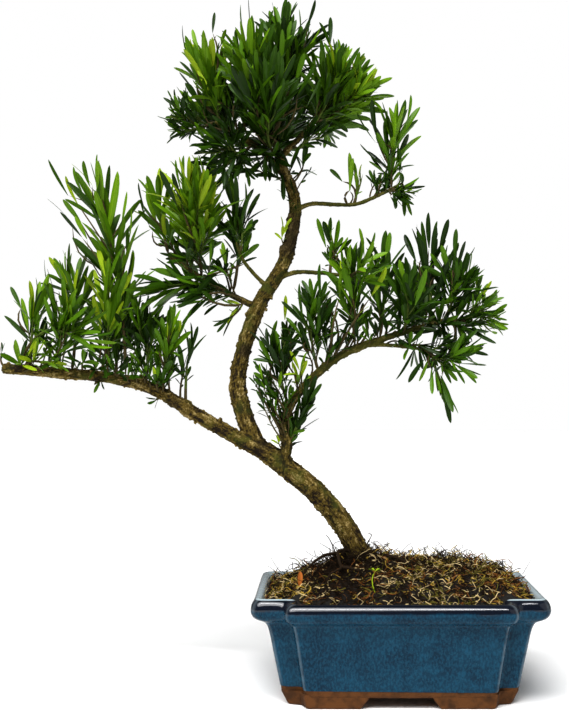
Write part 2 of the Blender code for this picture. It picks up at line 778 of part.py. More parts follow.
def bowed_stem(foot, end, obstacles, dice):
    """The middle of a stem that bows to the first of a few sides on which it is clear, and its two halves."""
    run = end - foot
    for attempt in range(STEM_TRIES):
        aside = perpendicular(run.normalized(), dice.uniform(0, math.tau))
        middle = foot.lerp(end, 0.5) + aside * run.length * STEM_BOW * (1 + attempt / 3)
        lead = (end - middle).normalized()
        lower = twig_mesh("lower", foot, middle, STEM_RADIUS, STEM_KNEE_RADII[0])
        upper = twig_mesh("upper", middle - lead * STEM_RADIUS, end, STEM_KNEE_RADII[1], STEM_TIP_RADIUS)
        if not any(tree_of(half).overlap(other) for half in (lower, upper) for other in obstacles):
            break
    return middle, lower, upper


def build_mass(mass, route, clearance, limb_shapes, mass_shapes, parts, helpers, dice):
    """One mass of foliage, joined into a single solid."""
    foot = point_along(route, mass.share)
    tip = Vector(mass.tip) * MM
    axis = (tip - foot).normalized()
    leaf_length = min(LEAF_LENGTH, (tip - foot).length * LEAF_MOST)
    stem_end = tip - axis * leaf_length
    other_limbs = [shape for name, shape in limb_shapes.items() if name != mass.limb]
    middle, lower, upper = bowed_stem(foot, stem_end, other_limbs + mass_shapes, dice)
    stem = add_object(mass.name, lower, parts, FOLIAGE)
    pieces = bpy.data.collections.new(mass.name + "_pieces")
    helpers.children.link(pieces)
    neighbours = [*limb_shapes.values(), *mass_shapes]
    grower = Grower(Space(foot, tip, mass.reach * MM), leaf_length, neighbours, dice, pieces)
    add_object("stem", upper, pieces)
    upper_shape = tree_of(upper)
    grower.taken.append(upper_shape)
    turn = dice.uniform(0, math.tau)
    for i in range(mass.twigs):
        share = TWIG_FIRST + (TWIG_LAST - TWIG_FIRST) * i / max(1, mass.twigs - 1)
        start = foot.lerp(middle, share * 2) if share < 0.5 else middle.lerp(stem_end, share * 2 - 1)
        length = max(TWIG_LEAST, mass.reach * MM - leaf_length / 2) * dice.uniform(*TWIG_LENGTH_RANGE)
        grower.add_twig(start, axis, turn + i * GOLDEN_ANGLE, length)
    grower.add_leaves(middle, stem_end, STEM_BARE, upper_shape)
    fuse(stem, pieces)
    boolean(stem, "DIFFERENCE", clearance, LIMB_SOLVER)
    apply_modifiers(stem)
    keep_body(stem.data)
    return stem


def build_masses(parts, helpers, clearances):
    """Every mass of foliage, each clear of the limbs and of the masses before it."""
    dice = random.Random(SEED)
    routes = {limb.name: smooth_route(limb.stations) for limb in LIMBS}
    limb_shapes = {name: tree_of(clearance.data) for name, clearance in clearances.items()}
    mass_shapes = []
    for mass in MASSES:
        made = build_mass(
            mass, routes[mass.limb], clearances[mass.limb], limb_shapes, mass_shapes, parts, helpers, dice
        )
        mass_shapes.append(tree_of(made.data))


def centre_on_empty(parts, helpers):
    """Hang every piece and its cutters on one empty that puts the origin under the middle of the whole."""
    graph = bpy.context.evaluated_depsgraph_get()
    corners = [Vector(corner) for made in parts.objects for corner in made.evaluated_get(graph).bound_box]
    low = [min(corner[i] for corner in corners) for i in range(3)]
    high = [max(corner[i] for corner in corners) for i in range(3)]
    origin = bpy.data.objects.new("bonsai_origin", None)
    origin.location = (-(low[0] + high[0]) / 2, -(low[1] + high[1]) / 2, -low[2])
    for made in [*parts.objects, *helpers.all_objects]:
        made.parent = origin
    parts.objects.link(origin)


def main():
    clear_scene()
    parts = new_collection("bonsai")
    helpers = new_collection("cutters")
    build_pot(parts)
    build_pot_base(parts, helpers)
    build_soil(parts, helpers)
    clearances = build_limbs(parts, helpers)
    build_masses(parts, helpers, clearances)
    for helper in helpers.all_objects:
        helper.hide_render = True
        helper.display_type = "WIRE"
    centre_on_empty(parts, helpers)


if __name__ == "__main__":
    main()
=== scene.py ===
"""The looks of a potted strap-leaved bonsai: bark, twigs, leaves, moss bed, glazed pot, floor, light and camera.

Sizes are in millimetres in the tables and in metres in the code. The tables give places from the pot's centre
line and the table top, and `Place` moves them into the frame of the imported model.
"""

from __future__ import annotations

import logging
import math
import random
from dataclasses import dataclass, field
from enum import Enum
from typing import Callable, Sequence

import bpy
import numpy as np
from mathutils import Matrix, Vector, noise
from mathutils.kdtree import KDTree


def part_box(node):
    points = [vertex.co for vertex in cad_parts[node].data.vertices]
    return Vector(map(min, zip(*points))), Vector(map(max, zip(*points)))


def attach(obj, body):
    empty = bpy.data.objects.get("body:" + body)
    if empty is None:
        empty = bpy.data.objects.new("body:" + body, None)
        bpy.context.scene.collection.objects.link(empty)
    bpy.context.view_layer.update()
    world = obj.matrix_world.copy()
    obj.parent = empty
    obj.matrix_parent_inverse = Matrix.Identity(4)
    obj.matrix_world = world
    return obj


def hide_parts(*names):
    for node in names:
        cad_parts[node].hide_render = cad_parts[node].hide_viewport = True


LOG = logging.getLogger("bonsai")
MM = 0.001
GOLDEN_ANGLE = math.radians(137.5)
BODY = "root"

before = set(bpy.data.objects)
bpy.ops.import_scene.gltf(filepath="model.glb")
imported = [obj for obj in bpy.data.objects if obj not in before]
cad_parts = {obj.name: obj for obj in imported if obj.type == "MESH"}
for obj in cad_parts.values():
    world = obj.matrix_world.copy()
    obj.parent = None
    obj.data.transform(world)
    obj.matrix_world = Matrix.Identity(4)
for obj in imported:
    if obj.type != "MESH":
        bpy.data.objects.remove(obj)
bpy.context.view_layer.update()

Colour = tuple[float, float, float]


class Tint(Enum):
    """The greens that are dealt out to the leaves, from the darkest to the lightest: partly the leaves' own age, from
    old growth to new, and partly painted shade and light, the darker greens going to lower and inner leaves and the
    lighter to upper, outer ones.
    """

    DEEP = 0
    DARK = 1
    MID = 2
    BRIGHT = 3
    YOUNG = 4


@dataclass(frozen=True)
class Limb:
    """One tapering limb: its name and its stations of x, y, z and thickness in mm."""

    name: str
    stations: tuple[tuple[float, float, float, float], ...]


@dataclass(frozen=True)
class Spray:
    """One mass of foliage.

    It names its limb, the share along it, its tip and reach in mm and its twigs. Then come its tint, factors on its
    leaves' length and on its side twigs' number, how far its leaves lift towards the sky, a factor on the angle at
    which they stand out, the share of its stem that is bare, and how far the stem sags.
    """

    name: str
    limb: str
    share: float
    tip: tuple[float, float, float]
    reach: float
    twigs: int
    tint: Tint = Tint.DARK
    leaf: float = 1.0
    fill: float = 1.0
    rise: float = 0.2
    spread: float = 1.0
    bare: float = 0.1
    sag: float = 0.12


@dataclass(frozen=True)
class Shoot:
    """A small shoot of its own: its limb, the share along it, its tip in mm, its leaf length and its tint."""

    limb: str
    share: float
    tip: tuple[float, float, float]
    leaf: float
    tint: Tint
    single: bool = False
    broad: bool = False


LIMBS = (
    Limb(
        "trunk",
        (
            (-19.6, 1, 73, 25),
            (-21.6, 0, 84, 20.5),
            (-27.6, -1, 97, 17),
            (-35.6, -2, 113, 16.2),
            (-50.6, -3, 132, 16),
            (-65.6, -3, 146.5, 15.6),
            (-95.6, -2, 170, 14.6),
        ),
    ),
    Limb(
        "leader",
        (
            (-88.6, -2, 164, 13.5),
            (-100.6, -1, 175, 13.6),
            (-111.6, 2, 203, 13),
            (-113.1, 3, 222, 12),
            (-109.6, 3, 240, 11.4),
            (-98.6, 0, 272, 11),
            (-80.6, -3, 302, 10.2),
            (-72.6, 0, 336, 9.4),
            (-74.1, 1, 354, 8.4),
            (-82.6, 0, 375, 7),
            (-87.6, 0, 397, 4.4),
        ),
    ),
    Limb(
        "left_bough",
        (
            (-89.6, -3, 165, 11.5),
            (-111.6, -5, 177, 11),
            (-147.6, -9, 198, 9.7),
            (-165.6, -10, 209.5, 9.2),
            (-183.6, -11, 216.5, 8.7),
            (-208.6, -12, 221.5, 8),
            (-240.6, -13, 224.4, 7.8),
            (-278.6, -14, 227.4, 7.5),
        ),
    ),
    Limb(
        "right_bough",
        (
            (-81.6, -5, 157, 9.5),
            (-77.6, -8, 175, 8),
            (-80.1, -9, 189, 7.1),
            (-68.6, -11, 211, 6.4),
            (-40.6, -13, 236, 5.7),
            (-4.6, -14, 250, 4.8),
            (39.4, -12, 262.5, 3.6),
        ),
    ),
    Limb(
        "low_right_branch",
        (
            (-22.6, -13, 244, 3.4),
            (2.4, -18, 243, 2.9),
            (31.4, -21, 238, 2.3),
        ),
    ),
    Limb(
        "left_upper_branch",
        (
            (-98.6, 1, 271, 5.6),
            (-111.6, 6, 277, 4.9),
            (-140.6, 10, 293, 4.3),
            (-165.6, 12, 311, 3.2),
        ),
    ),
    Limb(
        "left_twig",
        (
            (-90.6, -2, 284, 3.4),
            (-107.6, -9, 302, 2.8),
            (-113.6, -12, 317, 2.3),
        ),
    ),
    Limb(
        "mid_right_branch",
        (
            (-87.6, -2, 290, 4),
            (-68.6, -6, 296, 3.3),
            (-36.6, -9, 293, 2.6),
        ),
    ),
    Limb(
        "upper_right_branch",
        (
            (-72.6, 0, 340, 4),
            (-59.6, -2, 345, 3.4),
            (-32.6, -4, 344, 3),
            (-18.6, -5, 348, 2.9),
            (2.4, -6, 358, 2.4),
        ),
    ),
    Limb(
        "crown_left_limb",
        (
            (-80.6, 0, 366, 5),
            (-99.6, -5, 385, 4.3),
            (-129.6, -7, 403, 3.2),
        ),
    ),
    Limb(
        "crown_right_limb",
        (
            (-83.6, 0, 378, 5),
            (-65.6, -5, 395, 4.3),
            (-47.6, -7, 416, 3.2),
        ),
    ),
)

# The sprays' tints follow the greens seen on them: darker for sprays low, inside or under the crown and lighter for
# upper, outer ones, partly the leaves' own tones and partly painted shade and light.
SPRAYS = (
    Spray("left_stub_spray", "left_bough", 0.95, (-193, -50, 256), 24, 2, Tint.MID, 1.15, 0.8, 0.5, 0.7, 0.45, -0.22),
    Spray("left_end_spray", "left_bough", 0.9, (-253, -12, 295), 24, 2, Tint.MID, 1.0, 0.6, 0.2, 0.8, 0.25),
    Spray("left_outer_spray", "left_bough", 0.76, (-231, 14, 315), 27, 2, Tint.MID, 1.05, 0.9, 0.2, 0.9, 0.35),
    Spray("left_centre_spray", "left_bough", 0.66, (-200.6, -18, 311), 27, 2, Tint.BRIGHT, 1.05, 1.1, 0.2, 0.8, 0.35),
    Spray("left_tall_spray", "left_bough", 0.57, (-218, 6, 381), 31, 3, Tint.MID, 1.35, 0.7, 0.2, 0.95, 0.3),
    Spray("left_front_spray", "left_bough", 0.8, (-228, -38, 288), 25, 2, Tint.MID, 1.05, 1.0, 0.1, 0.9, 0.2),
    Spray("left_back_spray", "left_bough", 0.6, (-201.6, 46, 285), 31, 2, Tint.DARK, 1.0, 1.0, 0.2, 1.0, 0.2),
    Spray("left_inner_spray", "left_bough", 0.5, (-179.6, -14, 279), 25, 2, Tint.DARK, 0.7, 1.4, 0.2, 1.0, 0.08),
    Spray("left_near_spray", "left_bough", 0.43, (-156, -34, 269), 25, 1, Tint.MID, 0.85, 1.1, 0.3, 0.9, 0.08),
    Spray("left_thin_spray", "left_bough", 0.34, (-147, -8, 258), 19, 1, Tint.DARK, 0.75, 0.4, 0.3, 0.8, 0.5),
    Spray("upper_left_end_spray", "left_upper_branch", 0.98, (-180, 10, 373), 27, 2, Tint.BRIGHT, 1.15, 0.7, 0.2, 0.75, 0.15),
    Spray("upper_left_tall_spray", "left_upper_branch", 0.6, (-145, -22, 373), 38, 3, Tint.BRIGHT, 1.15, 1.2, 0.2, 0.8, 0.25),
    Spray("upper_left_side_spray", "left_upper_branch", 0.16, (-189, -30, 289), 27, 2, Tint.DARK, 1.1, 0.9, -0.08, 0.5, 0.12, -0.04),
    Spray("upper_left_inner_spray", "left_upper_branch", 0.28, (-113.6, 12, 371), 25, 2, Tint.DARK, 1.0, 0.9, 0.2, 0.9, 0.3),
    Spray("upper_left_back_spray", "left_upper_branch", 0.76, (-147.6, 56, 346), 32, 2, Tint.MID, 1.0, 1.0, 0.2, 1.0, 0.15),
    Spray("left_twig_spray", "left_twig", 0.8, (-107.6, -16, 337), 18, 1, Tint.DARK, 0.7, 0.4, 0.2, 1.1, 0.4),
    Spray("mid_right_high_spray", "mid_right_branch", 0.8, (-42, 4, 332), 25, 2, Tint.MID, 1.3, 0.3, 0.3, 0.9, 0.1),
    Spray("mid_right_end_spray", "mid_right_branch", 1.0, (-15.6, -50, 302), 26, 2, Tint.MID, 1.15, 0.5, 0.1, 0.9, 0.1),
    Spray("upper_right_near_spray", "upper_right_branch", 0.55, (-26, 2, 373), 23, 1, Tint.BRIGHT, 1.6, 0.1, 0.3, 0.45, 0.35),
    Spray("upper_right_tall_spray", "upper_right_branch", 0.92, (1, -8, 422), 19, 2, Tint.MID, 1.35, 0.9, 0.25, 0.95, 0.12),
    Spray("upper_right_end_spray", "upper_right_branch", 0.93, (15, -18, 350), 16, 1, Tint.MID, 1.5, 0.25, 0.0, 0.6, 0.1),
    Spray("upper_right_back_spray", "upper_right_branch", 0.8, (4, 22, 408), 24, 2, Tint.DARK, 0.9, 0.3, 0.2, 0.8, 0.5),
    Spray("right_low_spray", "right_bough", 0.07, (-54, -22, 222), 17, 1, Tint.DEEP, 0.8, 1.3, 0.2, 0.65, 0.02),
    Spray("right_inner_spray", "right_bough", 0.25, (-87.6, -8, 261), 30, 3, Tint.DEEP, 0.85, 0.6, 0.2, 0.9, 0.3),
    Spray("right_rising_spray", "right_bough", 0.43, (-65.6, -28, 287), 32, 3, Tint.DARK, 0.95, 0.7, 0.2, 1.0, 0.25),
    Spray("right_tall_spray", "right_bough", 0.6, (-32.6, 8, 322), 24, 2, Tint.MID, 0.95, 1.0, 0.2, 0.9, 0.2),
    Spray("right_middle_spray", "right_bough", 0.7, (-7.6, 8, 323), 26, 2, Tint.DARK, 1.0, 0.8, 0.2, 1.0, 0.2),
    Spray("right_front_spray", "right_bough", 0.79, (10.4, -46, 302), 25, 2, Tint.DARK, 1.05, 1.0, 0.2, 1.0, 0.2),
    Spray("right_crest_spray", "right_bough", 0.9, (23.4, 4, 333), 27, 3, Tint.DEEP, 1.3, 0.35, 0.2, 0.75, 0.35),
    Spray("right_shoulder_spray", "right_bough", 0.96, (52, -24, 309), 29, 2, Tint.DARK, 1.0, 1.0, 0.1, 0.95, 0.2),
    Spray("right_end_spray", "right_bough", 1.0, (72.6, -8, 277), 29, 3, Tint.MID, 1.2, 0.8, 0.0, 0.8, 0.1),
    Spray("right_back_spray", "right_bough", 0.84, (18.4, 42, 292), 28, 2, Tint.DARK, 1.0, 1.0, 0.2, 1.0, 0.2),
    Spray("right_droop_side_spray", "low_right_branch", 0.78, (56, -40, 233), 26, 3, Tint.DARK, 1.2, 0.8, 0.05, 0.8, 0.05),
    Spray("right_droop_low_spray", "low_right_branch", 0.86, (40, -22, 193), 29, 2, Tint.MID, 1.6, 0.1, -0.3, 0.4, 0.02),
    Spray("crown_left_low_spray", "crown_left_limb", 1.0, (-162, -16, 401), 30, 3, Tint.DARK, 1.1, 0.9, 0.12, 0.75, 0.1),
    Spray("crown_left_high_spray", "crown_left_limb", 0.88, (-143, 6, 464), 34, 4, Tint.BRIGHT, 1.2, 0.8, 0.3, 0.7, 0.15),
    Spray("crown_left_under_spray", "crown_left_limb", 0.5, (-135.6, -34, 376), 30, 2, Tint.DEEP, 1.0, 1.3, 0.05, 1.0, 0.1),
    Spray("crown_left_back_spray", "crown_left_limb", 0.66, (-141.6, 54, 424), 36, 3, Tint.DARK, 1.0, 1.0, 0.2, 1.0, 0.1),
    Spray("crown_top_left_spray", "leader", 1.0, (-115, -14, 470), 36, 4, Tint.MID, 1.15, 1.1, 0.2, 1.0, 0.1),
    Spray("crown_top_spray", "leader", 0.968, (-75, 8, 489), 37, 4, Tint.DARK, 1.15, 1.2, 0.2, 1.0, 0.1),
    Spray("crown_front_spray", "leader", 0.935, (-93.6, -74, 424), 38, 4, Tint.DARK, 1.05, 1.0, 0.35, 1.0, 0.1),
    Spray("crown_back_spray", "leader", 0.95, (-85.6, 78, 430), 38, 4, Tint.DARK, 1.0, 1.0, 0.2, 1.0, 0.1),
    Spray("crown_right_high_spray", "crown_right_limb", 0.6, (-30, -20, 452), 31, 3, Tint.MID, 1.3, 1.3, 0.2, 0.8, 0.1),
    Spray("crown_right_side_spray", "crown_right_limb", 0.7, (-12, 2, 436), 35, 4, Tint.BRIGHT, 1.2, 0.9, 0.15, 0.75, 0.1),
    Spray("crown_right_under_spray", "crown_right_limb", 0.25, (-49, -36, 393), 25, 2, Tint.DEEP, 0.9, 0.5, 0.1, 0.55, 0.3),
    Spray("crown_right_back_spray", "crown_right_limb", 0.64, (-33.6, 56, 432), 35, 3, Tint.MID, 1.0, 1.0, 0.2, 0.8, 0.1),
)

# The shoots' tints follow the same rule: the darker greens go to shoots inside and under the crown, partly as painted
# shade.
SHOOTS = (
    Shoot("leader", 0.655, (-83, -9, 333), 13, Tint.YOUNG),
    Shoot("right_bough", 0.06, (-87, -12, 181), 9, Tint.YOUNG),
    Shoot("left_upper_branch", 0.1, (-124, 2, 266), 15, Tint.YOUNG),
    Shoot("left_upper_branch", 0.16, (-127, -6, 253), 18, Tint.DEEP),
    Shoot("left_upper_branch", 0.3, (-128, -8, 312), 24, Tint.DEEP),
    Shoot("left_upper_branch", 0.62, (-156, -10, 318), 24, Tint.DARK),
    Shoot("left_upper_branch", 0.85, (-166, -8, 330), 20, Tint.DARK),
    Shoot("leader", 0.79, (-81, -12, 345), 19, Tint.DEEP),
    Shoot("leader", 0.86, (-118, -16, 374), 28, Tint.DEEP),
    Shoot("leader", 0.83, (-96, -18, 370), 22, Tint.DEEP),
    Shoot("leader", 0.88, (-70, -20, 376), 22, Tint.DEEP),
    Shoot("leader", 0.98, (-60, -12, 470), 30, Tint.MID),
    Shoot("crown_right_limb", 0.6, (-56, -10, 456), 30, Tint.MID),
    Shoot("crown_right_limb", 0.7, (-50, -14, 438), 28, Tint.DARK),
    Shoot("crown_left_limb", 0.6, (-118, -14, 438), 30, Tint.MID),
    Shoot("crown_left_limb", 0.5, (-114, -18, 418), 26, Tint.DARK),
    Shoot("left_bough", 0.985, (-281, -10, 245), 9, Tint.DEEP),
    Shoot("left_bough", 0.64, (-214, -18, 214), 10, Tint.DARK),
    Shoot("left_bough", 0.42, (-176, -14, 202), 9, Tint.DEEP),
    Shoot("left_bough", 0.93, (-212, -44, 270), 30, Tint.MID),
    Shoot("left_bough", 0.88, (-243, -20, 256), 14, Tint.MID),
    Shoot("left_bough", 0.79, (-226, -18, 256), 13, Tint.DEEP),
    Shoot("left_bough", 0.7, (-205, -18, 256), 13, Tint.DEEP),
    Shoot("left_bough", 0.63, (-196, -16, 260), 14, Tint.DARK),
    Shoot("left_bough", 0.54, (-182, -14, 252), 12, Tint.DEEP),
    Shoot("left_bough", 0.46, (-168, -16, 246), 13, Tint.DEEP),
    Shoot("left_bough", 0.4, (-158, -18, 238), 12, Tint.MID),
    Shoot("left_bough", 0.36, (-150, -12, 232), 11, Tint.DEEP),
    Shoot("mid_right_branch", 0.97, (-33, -46, 288), 28, Tint.BRIGHT),
    Shoot("right_bough", 0.1, (-70, -14, 190), 14, Tint.DARK),
    Shoot("right_bough", 0.16, (-94, -14, 205), 12, Tint.DEEP),
    Shoot("right_bough", 0.18, (-98, -12, 222), 13, Tint.DARK),
    Shoot("right_bough", 0.22, (-100, -14, 232), 14, Tint.DARK),
    Shoot("right_bough", 0.2, (-60, -16, 208), 12, Tint.DEEP),
    Shoot("right_bough", 0.3, (-82, -12, 240), 14, Tint.DARK),
    Shoot("right_bough", 0.26, (-66, -16, 232), 16, Tint.YOUNG),
    Shoot("right_bough", 0.36, (-66, -14, 252), 16, Tint.DARK),
    Shoot("right_bough", 0.42, (-50, -14, 264), 15, Tint.DARK),
    Shoot("right_bough", 0.47, (-46, -16, 272), 16, Tint.DARK),
    Shoot("right_bough", 0.52, (-32, -14, 266), 14, Tint.DEEP),
    Shoot("right_bough", 0.56, (-26, -16, 280), 16, Tint.MID),
    Shoot("right_bough", 0.61, (-16, -14, 270), 15, Tint.DARK),
    Shoot("right_bough", 0.66, (-12, -16, 284), 16, Tint.DARK),
    Shoot("right_bough", 0.72, (2, -16, 276), 16, Tint.MID),
    Shoot("right_bough", 0.78, (8, -18, 284), 18, Tint.DARK),
    Shoot("right_bough", 0.86, (24, -16, 286), 20, Tint.DARK),
    Shoot("right_bough", 0.92, (44, -18, 286), 22, Tint.MID),
    Shoot("right_bough", 0.95, (46, -20, 262), 22, Tint.DEEP),
    Shoot("right_bough", 0.97, (58, -20, 268), 24, Tint.DARK),
    Shoot("right_bough", 1.0, (64, -10, 256), 26, Tint.DARK),
    Shoot("low_right_branch", 0.45, (2, -24, 232), 22, Tint.BRIGHT),
    Shoot("low_right_branch", 0.62, (24, -24, 226), 28, Tint.MID),
    Shoot("low_right_branch", 1.0, (60, -24, 246), 26, Tint.DARK),
    Shoot("left_bough", 0.955, (-251, -24, 239), 26, Tint.YOUNG),
    Shoot("left_bough", 0.945, (-241, -28, 240), 25, Tint.YOUNG),
    Shoot("left_bough", 0.93, (-233, -30, 237), 24, Tint.BRIGHT),
    Shoot("left_bough", 0.91, (-228, -30, 233), 18, Tint.MID),
    Shoot("left_bough", 0.955, (-257, -20, 247), 22, Tint.DARK),
    Shoot("left_upper_branch", 0.12, (-168, -18, 289), 34, Tint.DARK),
    Shoot("left_upper_branch", 0.14, (-157, -24, 280), 30, Tint.DEEP),
    Shoot("left_upper_branch", 0.2, (-148, -16, 295), 28, Tint.DARK),
    Shoot("left_twig", 0.6, (-159, -10, 286), 30, Tint.DEEP),
    Shoot("leader", 0.85, (-58, -20, 381), 22, Tint.DEEP),
    Shoot("leader", 0.8, (-60, -12, 370), 9, Tint.DEEP),
    Shoot("crown_right_limb", 0.97, (-4, -4, 434), 28, Tint.BRIGHT),
    Shoot("crown_left_limb", 0.8, (-151, -16, 423), 26, Tint.DARK),
    Shoot("crown_left_limb", 0.7, (-141, -18, 431), 26, Tint.MID),
    Shoot("upper_right_branch", 0.97, (17, -20, 351), 24, Tint.MID),
    Shoot("upper_right_branch", 0.95, (11, -16, 344), 22, Tint.MID),
    Shoot("upper_right_branch", 0.93, (0, -12, 338), 20, Tint.DEEP),
    Shoot("upper_right_branch", 0.7, (-12, -6, 366), 10, Tint.DEEP),
    Shoot("upper_right_branch", 0.78, (-7, -6, 367), 12, Tint.DARK),
    Shoot("right_bough", 0.93, (36, -34, 259), 26, Tint.MID),
    Shoot("right_bough", 0.96, (29, -26, 244), 24, Tint.DEEP),
    Shoot("right_bough", 0.99, (41, -26, 226), 30, Tint.DARK),
    Shoot("right_bough", 1.0, (54, -18, 240), 26, Tint.DARK),
    Shoot("right_bough", 0.97, (21, -20, 242), 22, Tint.DARK),
    Shoot("low_right_branch", 0.7, (18, -24, 232), 18, Tint.BRIGHT),
    Shoot("right_bough", 0.13, (-95, -10, 225), 11, Tint.DEEP),
    Shoot("right_bough", 0.15, (-90, -14, 216), 11, Tint.DARK),
    Shoot("right_bough", 0.2, (-78, -16, 225), 12, Tint.DEEP),
    Shoot("right_bough", 0.17, (-72, -18, 214), 11, Tint.DARK),
    Shoot("right_bough", 0.28, (-66, -22, 239), 20, Tint.YOUNG),
    Shoot("right_bough", 0.12, (-100, -6, 235), 12, Tint.DARK),
    Shoot("right_bough", 0.1, (-104, -4, 223), 9, Tint.DEEP),
    Shoot("right_bough", 0.34, (-44, -20, 258), 18, Tint.DARK),
    Shoot("crown_left_high_spray", 0.55, (-158, -10, 468), 30, Tint.DEEP, True),
    Shoot("crown_left_high_spray", 0.65, (-147, -8, 469), 28, Tint.BRIGHT, True),
    Shoot("crown_left_high_spray", 0.85, (-130, -8, 480), 20, Tint.DEEP, True),
    Shoot("crown_left_high_spray", 0.9, (-121, -12, 468), 18, Tint.YOUNG, True),
    Shoot("crown_top_left_spray", 0.75, (-113, -8, 484), 24, Tint.DEEP, True),
    Shoot("crown_top_left_spray", 0.85, (-105, -8, 488), 28, Tint.DARK, True),
    Shoot("crown_top_spray", 0.5, (-95, -10, 478), 26, Tint.DEEP, True),
    Shoot("crown_top_spray", 0.6, (-87, -8, 485), 26, Tint.DARK, True),
    Shoot("crown_top_spray", 0.85, (-54, -6, 488), 28, Tint.DEEP, True),
    Shoot("crown_right_high_spray", 0.6, (-46, -8, 477), 28, Tint.DARK, True),
    Shoot("crown_right_high_spray", 0.5, (-44, -8, 471), 26, Tint.DARK, True),
    Shoot("crown_left_high_spray", 0.35, (-151, -12, 447), 28, Tint.DARK, True),
    Shoot("crown_left_high_spray", 0.25, (-156, -12, 435), 28, Tint.DEEP, True),
    Shoot("crown_left_low_spray", 0.6, (-164, -12, 420), 28, Tint.DEEP, True),
    Shoot("crown_left_low_spray", 0.7, (-169, -14, 403), 24, Tint.DEEP, True),
    Shoot("crown_right_side_spray", 0.6, (-20, -12, 447), 28, Tint.MID, True),
    Shoot("crown_right_side_spray", 0.5, (-18, -8, 440), 28, Tint.MID, True),
    Shoot("crown_right_side_spray", 0.3, (-33, -14, 404), 26, Tint.DEEP, True),
    Shoot("crown_right_limb", 0.5, (-46, -36, 388), 24, Tint.DEEP, True),
    Shoot("leader", 0.84, (-59, -16, 381), 18, Tint.DEEP, True),
    Shoot("crown_left_limb", 0.75, (-141, -50, 368), 42, Tint.DARK, True, True),
    Shoot("crown_front_spray", 0.5, (-77, -40, 460), 40, Tint.BRIGHT, True, True),
    Shoot("crown_front_spray", 0.6, (-58, -50, 441), 36, Tint.MID, True, True),
    Shoot("crown_front_spray", 0.5, (-98, -60, 431), 32, Tint.MID, True, True),
    Shoot("low_right_branch", 0.9, (38, -24, 192), 42, Tint.DARK, True, True),
    Shoot("low_right_branch", 0.85, (6, -24, 218), 28, Tint.DEEP, True, True),
    Shoot("low_right_branch", 0.85, (16, -22, 218), 24, Tint.MID, True, True),
    Shoot("low_right_branch", 0.88, (21, -28, 207), 30, Tint.MID, True, True),
    Shoot("right_end_spray", 0.2, (66, -14, 238), 36, Tint.DEEP, True, True),
    Shoot("right_end_spray", 0.5, (76, -12, 266), 32, Tint.MID, True, True),
    Shoot("left_tall_spray", 0.72, (-251, -4, 373), 40, Tint.DARK, True),
    Shoot("left_tall_spray", 0.62, (-248, -4, 349), 36, Tint.DEEP, True),
    Shoot("left_tall_spray", 0.52, (-237, -6, 339), 32, Tint.DEEP, True),
    Shoot("left_tall_spray", 0.8, (-223, 0, 377), 28, Tint.BRIGHT, True),
    Shoot("left_outer_spray", 0.6, (-260, -14, 301), 34, Tint.MID, True),
    Shoot("left_outer_spray", 0.5, (-252, -10, 296), 30, Tint.DARK, True),
    Shoot("left_end_spray", 0.6, (-273, -10, 288), 28, Tint.DEEP, True),
    Shoot("upper_right_tall_spray", 0.8, (16, -8, 421), 28, Tint.MID, True),
    Shoot("upper_right_tall_spray", 0.5, (-29, -8, 407), 34, Tint.DEEP, True),
    Shoot("upper_right_tall_spray", 0.42, (-24, -6, 413), 34, Tint.DARK, True),
    Shoot("upper_right_tall_spray", 0.3, (-27, -8, 387), 34, Tint.DEEP, True),
    Shoot("upper_right_tall_spray", 0.2, (-22, -6, 378), 26, Tint.DEEP, True),
    Shoot("upper_right_near_spray", 0.25, (-46, -4, 371), 18, Tint.DARK, True),
    Shoot("mid_right_high_spray", 0.4, (-56, -4, 334), 30, Tint.MID, True, True),
    Shoot("mid_right_high_spray", 0.5, (-31, -10, 320), 24, Tint.BRIGHT, True, True),
    Shoot("right_bough", 0.5, (-7, -34, 297), 34, Tint.BRIGHT, True, True),
    Shoot("right_bough", 0.5, (-57, -34, 296), 34, Tint.MID, True, True),
    Shoot("right_crest_spray", 0.45, (58, 0, 309), 30, Tint.DEEP, True, True),
    Shoot("upper_left_end_spray", 0.3, (-191, -4, 357), 34, Tint.DARK, True),
    Shoot("upper_left_end_spray", 0.2, (-190, -4, 343), 34, Tint.DEEP, True),
    Shoot("upper_left_tall_spray", 0.4, (-158, -30, 363), 34, Tint.DEEP, True),
    Shoot("upper_left_tall_spray", 0.45, (-164, -30, 360), 34, Tint.DEEP, True),
    Shoot("upper_left_tall_spray", 0.9, (-153, -26, 376), 26, Tint.YOUNG, True),
    Shoot("right_inner_spray", 0.5, (-78, -20, 278), 24, Tint.YOUNG, True),
    Shoot("leader", 0.8, (-80, -14, 342), 20, Tint.DEEP, True),
    Shoot("right_bough", 0.52, (-33, -34, 305), 30, Tint.BRIGHT),
    Shoot("leader", 0.955, (-95, -14, 384), 26, Tint.DEEP),
    Shoot("leader", 0.94, (-105, -14, 377), 26, Tint.DEEP),
    Shoot("leader", 0.93, (-111, -14, 370), 24, Tint.DARK),
    Shoot("leader", 0.965, (-90, -14, 394), 24, Tint.DEEP),
    Shoot("leader", 0.96, (-99, -14, 392), 26, Tint.DARK),
    Shoot("leader", 0.95, (-108, -14, 386), 24, Tint.DEEP),
    Shoot("leader", 0.9, (-80, -10, 344), 34, Tint.DEEP, True, True),
    Shoot("upper_right_branch", 0.5, (-30, -8, 382), 40, Tint.BRIGHT, True, True),
    Shoot("upper_right_branch", 0.5, (-31, -14, 376), 34, Tint.BRIGHT, True, True),
    Shoot("upper_right_branch", 0.88, (18, -18, 353), 30, Tint.MID, True, True),
    Shoot("upper_right_branch", 0.88, (12, -18, 345), 28, Tint.MID, True, True),
    Shoot("upper_right_branch", 0.88, (12, -18, 340), 28, Tint.DARK, True, True),
    Shoot("upper_right_branch", 0.88, (7, -18, 343), 24, Tint.MID, True, True),
